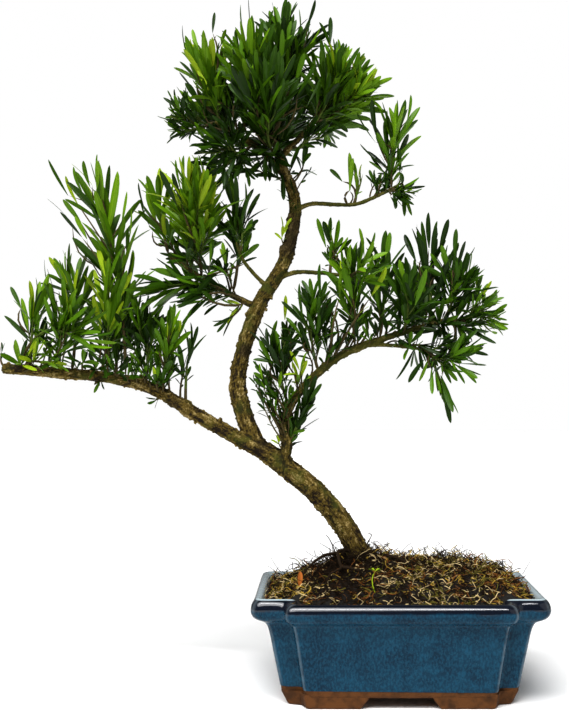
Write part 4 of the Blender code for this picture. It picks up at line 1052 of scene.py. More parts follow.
@dataclass
class Foliage:
    """All the sprays: stems, twigs and leaves, grown from the limbs by one seeded rule."""

    place: Place
    routes: dict[str, np.ndarray]
    leaf_length: float = 35 * MM
    leaf_width: float = 4.7 * MM
    leaf_spacing: float = 2.3 * MM
    angle_low: float = math.radians(58)
    angle_high: float = math.radians(14)
    jitter: float = math.radians(9)
    twig_angle: float = math.radians(40)
    twig_rise: float = 2.0
    stem_radius: float = 1.35 * MM
    stem_tip_radius: float = 0.7 * MM
    twig_radius: float = 0.65 * MM
    brown_share: float = 0.35
    piece_leaves: int = 4400
    seed: int = 11
    leaves: dict[Tint, list[Leaf]] = field(default_factory=lambda: {tint: [] for tint in Tint})
    twigs: MeshHeap = field(default_factory=MeshHeap)

    def build(self) -> list[bpy.types.Object]:
        """Grow every spray and shoot, and make the leaf pieces and the twig piece.

        Returns:
            The pieces.
        """
        self.dice = random.Random(self.seed)
        for spray in SPRAYS:
            self.grow(spray)
        for shoot in SHOOTS:
            self.grow_shoot(shoot)
        cutter = LeafCutter()
        made = []
        for tint in Tint:
            leaves = self.leaves[tint]
            for part in range(math.ceil(len(leaves) / self.piece_leaves)):
                heap = MeshHeap()
                cutter.cut(leaves[part :: math.ceil(len(leaves) / self.piece_leaves)], heap)
                made.append(heap.make(f"leaves_{tint.name.lower()}_{part}", (LEAF_FINISHES[tint], RIB_FINISHES[tint])))
            LOG.info("%s leaves: %d", tint.name.lower(), len(leaves))
        made.append(self.twigs.make("leaf_twigs", TWIG_FINISHES))
        return made

    def grow(self, spray: Spray) -> None:
        """Grow one spray: a bowed stem, side twigs and their own twiglets, with leaves on all of them."""
        foot = point_along(self.routes[spray.limb], spray.share)
        tip = self.place.point(*spray.tip)
        run = tip - foot
        axis = run.normalized()
        length = min(self.leaf_length * spray.leaf, run.length * 0.6)
        self.foot, self.axis, self.run = foot, axis, run.length
        self.reach, self.rise, self.spread = spray.reach * MM * 1.05, spray.rise, spray.spread
        self.density = min(1.0, spray.fill) ** 0.5
        stem_end = tip - axis * length * 0.8
        side = perpendicular(axis, self.dice.uniform(0, math.tau))
        level = math.hypot(run.x, run.y)
        middle = foot.lerp(stem_end, 0.5) + side * (stem_end - foot).length * 0.05 - Vector((0, 0, level * spray.sag))
        stem = bowed(foot, middle, stem_end, 9)
        self.routes[spray.name] = stem
        self.add_twig(stem, self.stem_radius, self.stem_tip_radius, 6, self.brown_share)
        self.add_leaves(stem, spray.bare, length, spray.tint)
        count = max(2, round((spray.twigs * 2 + 2) * spray.fill))
        turn = self.dice.uniform(0, math.tau)
        for i in range(count):
            share = spray.bare + 0.02 + (0.86 - spray.bare) * i / (count - 1)
            start = Vector(stem[int(share * 8)]).lerp(Vector(stem[int(share * 8) + 1]), share * 8 % 1)
            size = max(8 * MM, self.reach - length * 0.45) * self.dice.uniform(0.7, 1.2)
            leaf = length * min(1.0, 0.5 + share)
            self.add_side(start, axis, turn + i * GOLDEN_ANGLE, size, leaf, spray.tint, True)

    def grow_shoot(self, shoot: Shoot) -> None:
        """Grow a small shoot: a thin stem with a few leaves, or a single one, at its end."""
        foot = point_along(self.routes[shoot.limb], shoot.share)
        tip = self.place.point(*shoot.tip)
        self.foot, self.axis, self.run = foot, (tip - foot).normalized(), (tip - foot).length
        self.reach, self.rise, self.spread, self.density = self.run + shoot.leaf * MM, 0.2, 1.0, 1.0
        stem_end = tip - self.axis * shoot.leaf * 0.7 * MM
        sway = perpendicular(self.axis, self.dice.uniform(0, math.tau)) * self.run * self.dice.uniform(0.04, 0.16)
        stem = bowed(foot, foot.lerp(stem_end, 0.5) + sway, stem_end, 6)
        thick = self.twig_radius * self.dice.uniform(0.8, 1.7)
        self.add_twig(stem, thick, thick * 0.6, 5, 1.0)
        if shoot.single:
            azimuth = self.dice.uniform(0, math.tau)
            if shoot.broad:
                azimuth = min((azimuth + step for step in range(7)), key=lambda turn: perpendicular(self.axis, turn).y)
            self.add_leaf(stem_end, self.axis, azimuth, math.radians(9), shoot.leaf * 0.85 * MM, 0.5, shoot.tint)
            return
        self.add_leaves(stem, 0.5, shoot.leaf * MM, shoot.tint)

    def add_twig(self, points: np.ndarray, start: float, end: float, sides: int, brown: float) -> None:
        """Add a tapering twig to the twigs' heap, brown for a share of it and green beyond."""
        corners, quads = tube_arrays(points, np.linspace(start, end, len(points)), sides)
        slots = (np.arange(len(quads)) >= brown * len(quads)).astype(np.int32)
        self.twigs.add(corners, quads, slots)

    def add_side(
        self, start: Vector, axis: Vector, azimuth: float, size: float, leaf: float, tint: Tint, branch: bool
    ) -> None:
        """Add a side twig with its leaves and, where it is long enough, two twiglets of its own."""
        angle = self.twig_angle * self.spread
        out = axis * math.cos(angle) + perpendicular(axis, azimuth) * math.sin(angle)
        lead = (out + Vector((0, 0, self.twig_rise * self.rise))).normalized()
        end = start + lead * size
        while not self.holds(end) and size > 5 * MM:
            size *= 0.8
            end = start + lead * size
        if not self.holds(end):
            return
        middle = start.lerp(end, 0.5) + Vector((0, 0, -size * 0.06))
        points = bowed(start, middle, end, 5)
        self.add_twig(points, self.twig_radius, self.twig_radius * 0.7, 5, 0.0)
        self.add_leaves(points, 0.2, leaf * 0.95, tint)
        if branch and size > 14 * MM:
            for share in (0.3, 0.65):
                root = start.lerp(end, share)
                turned = self.dice.uniform(0, math.tau)
                self.add_side(root, lead, turned, size * 0.5, leaf * 0.85, tint, False)

    def holds(self, point: Vector) -> bool:
        """Whether a point lies within the spray's space, an egg round its run."""
        away = point - self.foot
        share = away.dot(self.axis) / self.run
        across = (away - away.dot(self.axis) * self.axis).length
        return abs((share - 0.52) / 0.53) ** 3 + (across / self.reach) ** 2 <= 1.0

    def add_leaves(self, points: np.ndarray, bare: float, length: float, tint: Tint) -> None:
        """Leaves in a spiral up a twig, wide open low down and nearly upright at its tip."""
        run = float(np.linalg.norm(np.diff(points, axis=0), axis=1).sum())
        count = max(round(2 + 4 * self.density), round(run * (1 - bare) / self.leaf_spacing * self.density))
        turn = self.dice.uniform(0, math.tau)
        step = len(points) - 1
        for i in range(count):
            rise = i / (count - 1)
            place = (bare + (1 - bare) * rise) * step
            low = min(step - 1, int(place))
            root = Vector(points[low]).lerp(Vector(points[low + 1]), place - low)
            axis = Vector(points[low + 1] - points[low]).normalized()
            angle = (self.angle_low + (self.angle_high - self.angle_low) * rise) * self.spread
            size = length * min(1.0, 0.4 + 1.3 * rise) * (1.0 - 0.2 * rise**3)
            self.add_leaf(root, axis, turn + i * GOLDEN_ANGLE, angle, size, rise, tint)

    def add_leaf(
        self, root: Vector, axis: Vector, azimuth: float, angle: float, length: float, rise: float, tint: Tint
    ) -> None:
        """Add one leaf, shortened until it keeps to the space, or leave it out."""
        dice = self.dice
        angle += dice.gauss(0, 1) * self.jitter
        out = perpendicular(axis, azimuth + dice.uniform(-1, 1) * self.jitter)
        along = axis * math.cos(angle) + out * math.sin(angle)
        along = (along + Vector((0, 0, self.rise + dice.uniform(-0.18, 0.18)))).normalized()
        face = (axis - along * axis.dot(along)).normalized()
        across = face.cross(along)
        roll = dice.gauss(0, 0.4)
        across, face = across * math.cos(roll) + face * math.sin(roll), face * math.cos(roll) - across * math.sin(roll)
        size = length * dice.uniform(0.78, 1.12)
        for _ in range(3):
            if self.holds(root + along * size):
                break
            size *= 0.88
        else:
            return
        width = self.leaf_width * (size / self.leaf_length) ** 0.6 * dice.uniform(0.8, 1.15)
        bend, droop = dice.gauss(0.06, 0.07), dice.uniform(0.0, 0.16) * math.hypot(along.x, along.y)
        leaf = Leaf(root, along, across, face, size, width, bend, dice.uniform(0.1, 0.5), dice.gauss(0, 0.3), droop)
        # The tint: the spray's own, a random step either way, often a step lighter near the tip of a twig high in the
        # spray, and often a step darker low in it. These last two steps are partly new and old growth and partly
        # painted light and shade.
        height = (root - self.foot).dot(self.axis) / self.run
        shade = tint.value + dice.choices((-1, 0, 1), (0.3, 0.52, 0.18))[0]
        if rise > 0.75 and height > 0.5 and dice.random() < 0.4:
            shade += 1
        if height < 0.35 and dice.random() < 0.6:
            shade -= 1
        self.leaves[Tint(min(4, max(0, shade)))].append(leaf)


@dataclass
class Wood:
    """The trunk and boughs as one skin of bark."""

    place: Place
    voxel: float = 0.65 * MM
    root_flare: tuple[tuple[float, float], ...] = ((-172, 27), (-118, 22), (-35, 23), (62, 21), (128, 19), (15, 18))
    snags: tuple[tuple[str, float, float, float, float], ...] = (
        ("trunk", 0.30, 250, 11, 1.5),
        ("leader", 0.36, 95, 10, 1.3),
        ("leader", 0.52, 300, 8.5, 1.2),
        ("leader", 0.66, 70, 8.5, 1.3),
        ("leader", 0.72, 250, 8, 1.1),
        ("leader", 0.83, 120, 8, 1.2),
        ("left_bough", 0.20, 90, 9, 1.3),
        ("left_bough", 0.30, 270, 8, 1.0),
        ("left_bough", 0.44, 110, 10, 1.6),
        ("left_bough", 0.52, 80, 8, 1.2),
        ("left_bough", 0.67, 265, 6, 0.9),
        ("left_bough", 0.985, 60, 6, 1.4),
        ("right_bough", 0.10, 150, 8, 1.2),
        ("right_bough", 0.24, 130, 7.5, 1.1),
        ("right_bough", 0.52, 260, 5.5, 0.9),
    )
    small_snags: tuple[tuple[str, int], ...] = (
        ("trunk", 16),
        ("left_bough", 26),
        ("leader", 24),
        ("right_bough", 18),
        ("left_upper_branch", 12),
    )
    greens: tuple[tuple[str, float], ...] = (
        ("right_bough", 0.9),
        ("low_right_branch", 0.9),
        ("left_upper_branch", 0.5),
        ("mid_right_branch", 0.6),
        ("upper_right_branch", 0.6),
        ("leader", 0.16),
        ("left_bough", 0.04),
    )
    seed: int = 3
    stains: tuple[tuple[float, float, float, float], ...] = (
        (-76, -3, 322, 20),
        (-107, -3, 240, 7),
        (-96, -3, 172, 8),
        (-24, -2, 88, 10),
        (-158, -8, 204, 8),
    )

    def routes(self) -> dict[str, np.ndarray]:
        """The centre line of every limb."""
        return {limb.name: self.route(limb)[0] for limb in LIMBS}

    def route(self, limb: Limb, step: float = 2 * MM) -> tuple[np.ndarray, np.ndarray]:
        """The centre line and radii of one limb."""
        stations = [self.place.point(*s[:3]) for s in limb.stations]
        return smooth_route(stations, [s[3] * MM / 2 for s in limb.stations], step)

    def build(self) -> bpy.types.Object:
        """Build the skin: tubes along every limb, root and snag, remeshed into one, with the bark's relief.

        Returns:
            The skin.
        """
        heap = MeshHeap()
        routes = [self.route(limb) for limb in LIMBS]
        for points, radii in routes:
            heap.add(*tube_arrays(points, radii * 0.96, 20))
        self.add_roots(heap)
        self.add_snags(heap)
        skin = heap.make("bark_skin", (BarkFinish(),))
        remesh = skin.modifiers.new("one_skin", "REMESH")
        remesh.mode = "VOXEL"
        remesh.voxel_size = self.voxel
        smooth = skin.modifiers.new("soft_forks", "SMOOTH")
        smooth.factor = 0.5
        smooth.iterations = 3
        bpy.context.view_layer.objects.active = skin
        bpy.ops.object.modifier_apply(modifier="one_skin")
        bpy.ops.object.modifier_apply(modifier="soft_forks")
        self.roughen(skin, routes)
        return skin

    def add_roots(self, heap: MeshHeap) -> None:
        """Add the roots that spread from the trunk's foot into the soil."""
        foot = self.place.point(*LIMBS[0].stations[1][:3])
        for azimuth, reach in self.root_flare:
            away = Vector((math.cos(math.radians(azimuth)), math.sin(math.radians(azimuth)), 0.0))
            stations = [foot + Vector((0, 0, 12 * MM)), foot + away * reach * 0.5 * MM, foot + away * reach * MM]
            stations[1].z = 87.5 * MM
            stations[2].z = 81 * MM
            points, radii = smooth_route(stations, [5.0 * MM, 3.8 * MM, 1.6 * MM], 3 * MM)
            heap.add(*tube_arrays(points, radii, 12))

    def add_snags(self, heap: MeshHeap) -> None:
        """Add the stubs of old twigs."""
        routes = {limb.name: self.route(limb) for limb in LIMBS}
        dice = random.Random(self.seed)
        small = []
        for limb, count in self.small_snags:
            for _ in range(count):
                share = dice.uniform(0.08, 0.97)
                thick = routes[limb][1][int(share * (len(routes[limb][1]) - 1))] / MM
                small.append((limb, share, dice.uniform(0, 360), thick + dice.uniform(0.2, 2.2), dice.uniform(0.4, 1.0)))
        for limb, share, azimuth, reach, radius in (*self.snags, *small):
            foot = point_along(routes[limb][0], share)
            turn = math.radians(azimuth)
            away = Vector((math.cos(turn), -0.35, math.sin(turn))).normalized()
            points = np.array([foot + away * reach * MM * part for part in (0.0, 0.5, 0.85, 1.0)])
            heap.add(*tube_arrays(points, np.array([1.6, 1.25, 1.0, 0.7]) * radius * MM, 10))

    def roughen(self, skin: bpy.types.Object, routes: Sequence[tuple[np.ndarray, np.ndarray]]) -> None:
        """Give the skin its plates, furrows and knobs, and store what its finish needs as attributes.

        Args:
            skin: The smooth skin.
            routes: The centre line and radii of every limb.
        """
        mesh = skin.data
        count = len(mesh.vertices)
        places, normals = np.zeros(count * 3, np.float32), np.zeros(count * 3, np.float32)
        mesh.vertices.foreach_get("co", places)
        mesh.vertices.foreach_get("normal", normals)
        places, normals = places.reshape(-1, 3), normals.reshape(-1, 3)
        centres = np.concatenate([points for points, _ in routes])
        sizes = np.concatenate([radii for _, radii in routes])
        aheads = np.concatenate([np.gradient(points, axis=0) for points, _ in routes])
        greens = dict(self.greens)
        tones = np.concatenate(
            [
                greens.get(limb.name, 0.0) * np.interp(np.linspace(0, 1, len(points)), (0.2, 0.5), (0.15, 1.0))
                for limb, (points, _) in zip(LIMBS, routes)
            ]
        )
        runs = np.concatenate([np.arange(len(points)) * 2 * MM for points, _ in routes])
        tree = KDTree(len(centres))
        for index, centre in enumerate(centres):
            tree.insert(centre, index)
        tree.balance()
        moves, relief, young, stain = (np.zeros(count, np.float32) for _ in range(4))
        spots = [(self.place.point(*s[:3]), s[3] * MM) for s in self.stains]
        for index, place in enumerate(places):
            spot = Vector(place)
            _, near, _ = tree.find(spot)
            ahead = Vector(aheads[near]).normalized()
            away = spot - Vector(centres[near])
            run = away.dot(ahead)
            side = ahead.cross(Vector((0, 1, 0))).normalized()
            along, out, over = runs[near] + run, away.dot(side), away.dot(ahead.cross(side))
            furrows = 1 - 2 * abs(noise.noise(Vector((out * 820, over * 820, along * 240))))
            plates = noise.noise(Vector((out * 560 + 5, over * 560, along * 200)))
            streak = noise.noise(Vector((out * 260, over * 260 + 8, along * 70)))
            edge = min(1.0, max(0.0, plates * 4 + 0.5))
            crumbs = noise.noise(spot * 1200)
            knobs = max(0.0, noise.noise(spot * 110 + Vector((9, 2, 5))) - 0.26)
            knobs += 0.9 * max(0.0, noise.noise(spot * 420 + Vector((1, 7, 5))) - 0.26)
            weight = min(1.0, max(0.4, sizes[near] / (5 * MM)))
            moves[index] = (0.36 * edge - 0.34 * max(0.0, furrows - 0.35) + 0.34 * crumbs + 2.6 * knobs - 0.15) * weight
            relief[index] = 0.44 + 0.2 * edge - 0.5 * max(0.0, furrows - 0.3) + 0.32 * crumbs + 0.5 * knobs + 0.4 * streak
            young[index] = max(tones[near], min(1.0, max(0.0, (2.6 * MM - sizes[near]) / (1.2 * MM))))
            stain[index] = max(0.0, *(1 - (spot - middle).length / size for middle, size in spots))
        stain *= 2.2
        mesh.vertices.foreach_set("co", (places + normals * moves[:, None] * MM).ravel())
        for name, values in (("relief", relief), ("young", young), ("stain", np.minimum(stain, 1.0))):
            mesh.attributes.new(name, "FLOAT", "POINT").data.foreach_set("value", values)
        mesh.update()
        mesh.shade_smooth()


@dataclass(frozen=True)
class Row:
    """One level of the pot in mm: its height, its insets from the lip along x and y, and its notch along each."""

    z: float
    inset_x: float
    inset_y: float
    notch_x: float
    notch_y: float
    convex: float = 5.0


@dataclass
class Pot:
    """The glazed bowl, its bare clay slab and its four feet."""

    place: Place
    half_x: float = 101.0
    half_y: float = 75.0
    concave: float = 4.0
    arc_steps: int = 6
    bowl_rows: tuple[Row, ...] = (
        Row(11.6, 20.6, 13.4, 15.6, 12.4),
        Row(11.4, 19.8, 12.6, 15.6, 12.4),
        Row(13.0, 19.4, 12.3, 15.7, 12.4),
        Row(24.5, 17.3, 11.2, 16.2, 12.4),
        Row(36.0, 15.0, 10.0, 16.7, 12.4),
        Row(47.6, 13.0, 8.7, 17.2, 12.2),
        Row(53.4, 11.5, 7.7, 17.6, 12.0),
        Row(56.2, 9.9, 6.8, 18.4, 11.9),
        Row(57.4, 7.4, 5.2, 19.6, 11.8, 5.5),
        Row(58.4, 4.6, 3.4, 21.2, 11.6, 6.0),
        Row(60.0, 2.0, 1.7, 22.6, 11.5, 6.5),
        Row(62.4, 0.6, 0.5, 23.3, 11.5, 7.0),
        Row(65.2, 0.0, 0.0, 23.5, 11.5, 7.0),
        Row(67.4, 0.25, 0.25, 23.5, 11.5, 7.0),
        Row(69.4, 0.9, 0.9, 23.5, 11.5, 7.0),
        Row(71.1, 1.9, 1.9, 23.5, 11.5, 6.5),
        Row(72.4, 3.3, 3.3, 23.5, 11.5, 6.5),
        Row(73.0, 5.0, 5.0, 23.5, 11.5, 6.0),
        Row(72.7, 6.7, 6.7, 23.5, 11.5, 5.5),
        Row(71.6, 8.2, 8.2, 23.5, 11.5),
        Row(69.0, 9.4, 9.3, 23.3, 11.5),
        Row(58.0, 14.5, 12.0, 20.0, 12.0),
        Row(18.0, 24.0, 17.5, 17.0, 12.0),
    )
    slab_rows: tuple[Row, ...] = (
        Row(7.3, 22.2, 14.2, 15.6, 12.4),
        Row(7.8, 21.0, 13.4, 15.6, 12.4),
        Row(9.0, 20.6, 13.1, 15.6, 12.4),
        Row(13.0, 20.1, 12.9, 15.6, 12.4),
    )
    foot_plan: tuple[tuple[float, ...], ...] = (
        (19.6, 40.0, 6.8, 4.5),
        (19.6, 60.4, 6.8, -0.4),
        (21.0, 61.7, 6.0, -0.8),
        (62.0, 61.7, -1.2, -0.8),
        (64.6, 60.6, -1.6, -0.6),
        (67.6, 51.6, -0.8, -0.8),
        (78.6, 48.6, -3.8, -0.6),
        (80.4, 46.6, -4.6, 0.0),
        (80.4, 38.0, -4.6, 3.0),
    )
    foot_levels: tuple[tuple[float, float, float], ...] = (
        (9.6, 0.0, 0.0),
        (8.4, 0.05, 0.0),
        (0.7, 0.95, 0.0),
        (0.0, 1.0, 0.7),
    )
    front_sag: float = 1.7
    glaze_fall: float = 0.9
    waver: float = 1.3

    def outline(self, row: Row) -> list[tuple[float, float, float]]:
        """The plan of one row in mm, with each point's nearness to an outer arris."""
        half_x, half_y = self.half_x - row.inset_x, self.half_y - row.inset_y
        lug_y, run_x, out, into = half_y - row.notch_y, half_x - row.notch_x, row.convex, self.concave
        quarter = self.arc(half_x - out, lug_y - out, out, 0, 90, 1.0)
        quarter += self.arc(run_x + into, lug_y + into, into, 270, 180, 0.0)
        quarter += self.arc(run_x - 5.0, half_y - 5.0, 5.0, 0, 90, 1.0)
        half = quarter + [(-x, y, a) for x, y, a in reversed(quarter)]
        return half + [(-x, -y, a) for x, y, a in half]

    def arc(
        self, x: float, y: float, radius: float, start: float, end: float, arris: float
    ) -> list[tuple[float, float, float]]:
        """Points along an arc in degrees, the middle one marked as an arris."""
        points = []
        for i in range(self.arc_steps + 1):
            share = i / self.arc_steps
            angle = math.radians(start + (end - start) * share)
            mark = arris * max(0.0, 1 - abs(share - 0.5) * 3)
            points.append((x + radius * math.cos(angle), y + radius * math.sin(angle), mark))
        return points

    def build(self) -> list[bpy.types.Object]:
        """Build the bowl, the slab and the feet.

        Returns:
            The pieces, glazed first.
        """
        plans = [[(x, y, self.settle(x, y, row.z), mark) for x, y, mark in self.outline(row)] for row in self.bowl_rows]
        bowl = self.loft("glazed_bowl", plans)
        # Mask of the painted reflection on the rim: the lip's top rows, except along the front.
        inner = [float(17 <= level <= 20 and y > -58) for level, plan in enumerate(plans) for _, y, _, _ in plan]
        bowl.data.attributes.new("inner", "FLOAT", "POINT").data.foreach_set("value", inner)
        bowl.data.materials.append(GlazeFinish().make())
        finer = bowl.modifiers.new("finer", "SUBSURF")
        finer.levels = finer.render_levels = 1
        plans = [[(x, y, row.z, mark) for x, y, mark in self.outline(row)] for row in self.slab_rows]
        slab = self.loft("clay_base", plans)
        feet = [self.build_foot(x, y) for x in (-1, 1) for y in (-1, 1)]
        clay = ClayFinish().make()
        for piece in [slab, *feet]:
            piece.data.materials.append(clay)
        bpy.ops.object.select_all(action="DESELECT")
        for piece in [slab, *feet]:
            piece.select_set(True)
        bpy.context.view_layer.objects.active = slab
        bpy.ops.object.join()
        return [bowl, slab]

    def settle(self, x: float, y: float, z: float) -> float:
        """The height of a point of the bowl: the front lip sags, and the glaze's lower edge wavers."""
        if z > 14:
            run = min(1.0, max(0.0, (80 - abs(x)) / 8)) if y < -60 else 0.0
            return z - self.front_sag * run * max(0.0, (z - 60) / 13)
        return z - self.glaze_fall * x / self.half_x + noise.noise(Vector((x * 0.05, y * 0.05, 2.0))) * self.waver

    def loft(self, name: str, plans: Sequence[Sequence[tuple[float, ...]]]) -> bpy.types.Object:
        """A closed shell: a ring extruded once for each plan and set out on the plans.

        Args:
            name: The object's name.
            plans: The levels in order, each a ring of points in mm with their nearness to an arris.

        Returns:
            The object.
        """
        count = len(plans[0])
        bpy.ops.object.select_all(action="DESELECT")
        bpy.ops.mesh.primitive_circle_add(vertices=count, radius=self.half_x * MM, fill_type="NOTHING")
        shell = bpy.context.active_object
        shell.name = name
        bpy.ops.object.mode_set(mode="EDIT")
        bpy.ops.mesh.select_all(action="SELECT")
        for _ in plans[1:]:
            bpy.ops.mesh.extrude_region_move(TRANSFORM_OT_translate={"value": (0, 0, MM)})
        bpy.ops.mesh.edge_face_add()
        bpy.ops.object.mode_set(mode="OBJECT")
        mesh = shell.data
        arris = np.zeros(len(mesh.vertices), np.float32)
        for index, corner in enumerate(mesh.vertices):
            level, turn = divmod(index, count)
            x, y, z, mark = plans[level][turn]
            corner.co = self.place.point(x, y, z)
            corner.select = level == 0
            arris[index] = mark
        mesh.attributes.new("arris", "FLOAT", "POINT").data.foreach_set("value", arris)
        for face in mesh.polygons:
            face.select = False
        for edge in mesh.edges:
            edge.select = all(mesh.vertices[v].select for v in edge.vertices)
        bpy.ops.object.mode_set(mode="EDIT")
        bpy.ops.mesh.edge_face_add()
        bpy.ops.mesh.select_all(action="SELECT")
        bpy.ops.mesh.normals_make_consistent(inside=False)
        bpy.ops.object.mode_set(mode="OBJECT")
        shell.location = (0, 0, 0)
        bpy.ops.object.shade_smooth_by_angle(angle=math.radians(50))
        return shell

    def build_foot(self, side_x: int, side_y: int) -> bpy.types.Object:
        """One foot: a block under the front run and the corner, drawn in downwards."""
        plans = []
        for z, inward, edge in self.foot_levels:
            plan = []
            for x, y, draw_x, draw_y in self.foot_plan:
                into_x, into_y = (edge if draw_x > 3 else -edge), (edge if draw_y > 3 else -edge)
                plan.append((side_x * (x + draw_x * inward + into_x), side_y * (y + draw_y * inward + into_y), z, 0.0))
            plans.append(plan)
        foot = self.loft("foot", plans)
        bpy.ops.object.shade_smooth_by_angle(angle=math.radians(28))
        return foot


class Strand(Enum):
    """The kinds of dry strand on the soil, each with its finish."""

    DARK = PlainFinish("strand_dark", (0.020, 0.012, 0.006), 0.9, 0.1)
    OLIVE = PlainFinish("strand_olive", (0.17, 0.145, 0.025), 0.85, 0.15)
    TAN = PlainFinish("strand_tan", (0.60, 0.47, 0.24), 0.8, 0.2)
    GOLD = PlainFinish("strand_gold", (0.46, 0.31, 0.05), 0.8, 0.2)
    RUST = PlainFinish("strand_rust", (0.20, 0.08, 0.018), 0.85, 0.15)


@dataclass
class MossBed:
    """The soil's surface with its dry moss, fine roots, surface roots, a dry leaf and a sprout."""

    place: Place
    half_x: float = 91.6
    half_y: float = 65.6
    run_x: float = 68.0
    lug_y: float = 54.0
    edge_z: float = 68.8
    dome: float = 18.5
    strands: int = 5600
    tangle: int = 620
    seed: int = 5
    bumps: tuple[tuple[float, float, float, float], ...] = (
        (48, 6, 28, 3.5),
        (-21, 2, 15, 7.0),
        (-38, -4, 14, 3.0),
        (-80, 0, 20, -4.5),
        (10, -30, 16, 1.5),
    )
    roots: tuple[tuple[tuple[float, ...], ...], ...] = (
        ((-30, -4, 97), (-41, -16, 99), (-41, -28, 94), (-40, -36, 90), (-47, -42, 87), (-51, -46, 79)),
        ((-40, -34, 90.5), (-34, -38, 90.5), (-26, -38, 88)),
        ((-30, 0, 96), (-50, -8, 95), (-62, -16, 88), (-68, -24, 80)),
        ((-12, -4, 95), (2, -14, 93), (12, -28, 87), (16, -38, 80)),
    )
    whiskers: tuple[tuple[float, ...], ...] = (
        (-81, -8, 82, -90, -8, 95, 0.25),
        (-85, -8, 81, -93, -10, 88, 0.2),
        (-43, -4, 94, -51, -4, 109, 0.45),
        (-45, -4, 97, -56, -6, 104, 0.3),
        (-60, -6, 90, -73, -8, 95, 0.3),
        (-55, -2, 92, -66, -4, 99, 0.25),
        (41, -2, 92, 27, 0, 108, 0.2),
        (35, -4, 90, 32, -4, 99, 0.7),
        (46, 0, 93, 43, 0, 99, 0.3),
        (89, -6, 80, 96, -6, 92, 0.25),
        (80, 10, 84, 74, 8, 90, 0.25),
        (-4, 4, 93, 3, 2, 99, 0.3),
        (12, 2, 90, 8, 0, 97, 0.25),
    )

    def height(self, x: float, y: float) -> float:
        """The surface's height in mm at a place from the pot's centre."""
        away = max(abs(x - 4) / self.half_x, abs(y) / self.half_y)
        dome = 1 - min(1.0, away) ** 2
        rise = dome * self.dome
        for middle_x, middle_y, spread, lift in self.bumps:
            rise += lift * math.exp(-((x - middle_x) ** 2 + (y - middle_y) ** 2) / (2 * spread**2))
        rise += noise.noise(Vector((x * 0.045, y * 0.045, 1))) * 3.0 + noise.noise(Vector((x * 0.13, y * 0.13, 4))) * 2.0
        return self.edge_z + rise * min(1.0, dome * 3)

    def inside(self, x: float, y: float) -> bool:
        """Whether a place lies within the bowl's wall."""
        return abs(x) < self.half_x and abs(y) < self.half_y and (abs(x) < self.run_x or abs(y) < self.lug_y)

    def build(self) -> list[bpy.types.Object]:
        """Build the surface and all that lies on it.

        Returns:
            The pieces, the surface first.
        """
        self.dice = random.Random(self.seed)
        self.heaps = {kind: MeshHeap() for kind in Strand}
        for _ in range(self.strands):
            x, y = self.spot()
            kind = self.kind_at(x, y)
            bold = kind in (Strand.TAN, Strand.GOLD)
            self.add_strand(kind, x, y, self.dice.uniform(7, 19), 0.34 if bold else 0.27, 0.3)
        for _ in range(self.tangle):
            x, y = self.dice.gauss(-36, 15), self.dice.gauss(-2, 16)
            if self.inside(x, y):
                self.add_strand(Strand.DARK, x, y, self.dice.uniform(10, 24), 0.28, 0.6)
        self.add_roots()
        made = [self.build_ground()]
        made += [heap.make(f"moss_{kind.name.lower()}", (kind.value,)) for kind, heap in self.heaps.items()]
        return made + self.build_leaves()

    def spot(self) -> tuple[float, float]:
        """A random place on the bed."""
        while True:
            x, y = self.dice.uniform(-1, 1) * self.half_x, self.dice.uniform(-1, 1) * self.half_y
            if self.inside(x, y):
                return x, y

    def kind_at(self, x: float, y: float) -> Strand:
        """The kind of strand that grows at a place: golden at the ends, dark round the trunk."""
        patch = noise.noise(Vector((x * 0.06, y * 0.06, 7)))
        if x < -60:
            shares = (0.50, 0.14, 0.10, 0.14, 0.12)
        elif x < -12:
            shares = (0.80, 0.05, 0.05, 0.03, 0.07)
        elif x < 62:
            shares = (0.50, 0.18, 0.17, 0.05, 0.10) if patch > -0.05 else (0.70, 0.09, 0.11, 0.03, 0.07)
        else:
            shares = (0.46, 0.10, 0.08, 0.12, 0.24)
        return self.dice.choices(list(Strand), shares)[0]

    def build_ground(self) -> bpy.types.Object:
        """The peat: a fine grid, drawn in to the bowl's notched wall and raised to the surface's height."""
        bpy.ops.object.select_all(action="DESELECT")
        bpy.ops.mesh.primitive_grid_add(x_subdivisions=150, y_subdivisions=110, size=1.0)
        ground = bpy.context.active_object
        ground.name = "peat_bed"
        for corner in ground.data.vertices:
            x, y = corner.co.x * 2 * self.half_x, corner.co.y * 2 * self.half_y
            over_x, over_y = abs(x) - self.run_x, abs(y) - self.lug_y
            if over_x > 0 and over_y > 0:
                if over_x < over_y:
                    x = math.copysign(self.run_x, x)
                else:
                    y = math.copysign(self.lug_y, y)
            crumbs = noise.noise(Vector((x * 0.5, y * 0.5, 2))) * 0.9
            corner.co = self.place.point(x, y, self.height(x, y) + crumbs)
        ground.location = (0, 0, 0)
        ground.data.materials.append(PeatFinish().make())
        ground.data.shade_smooth()
        return ground

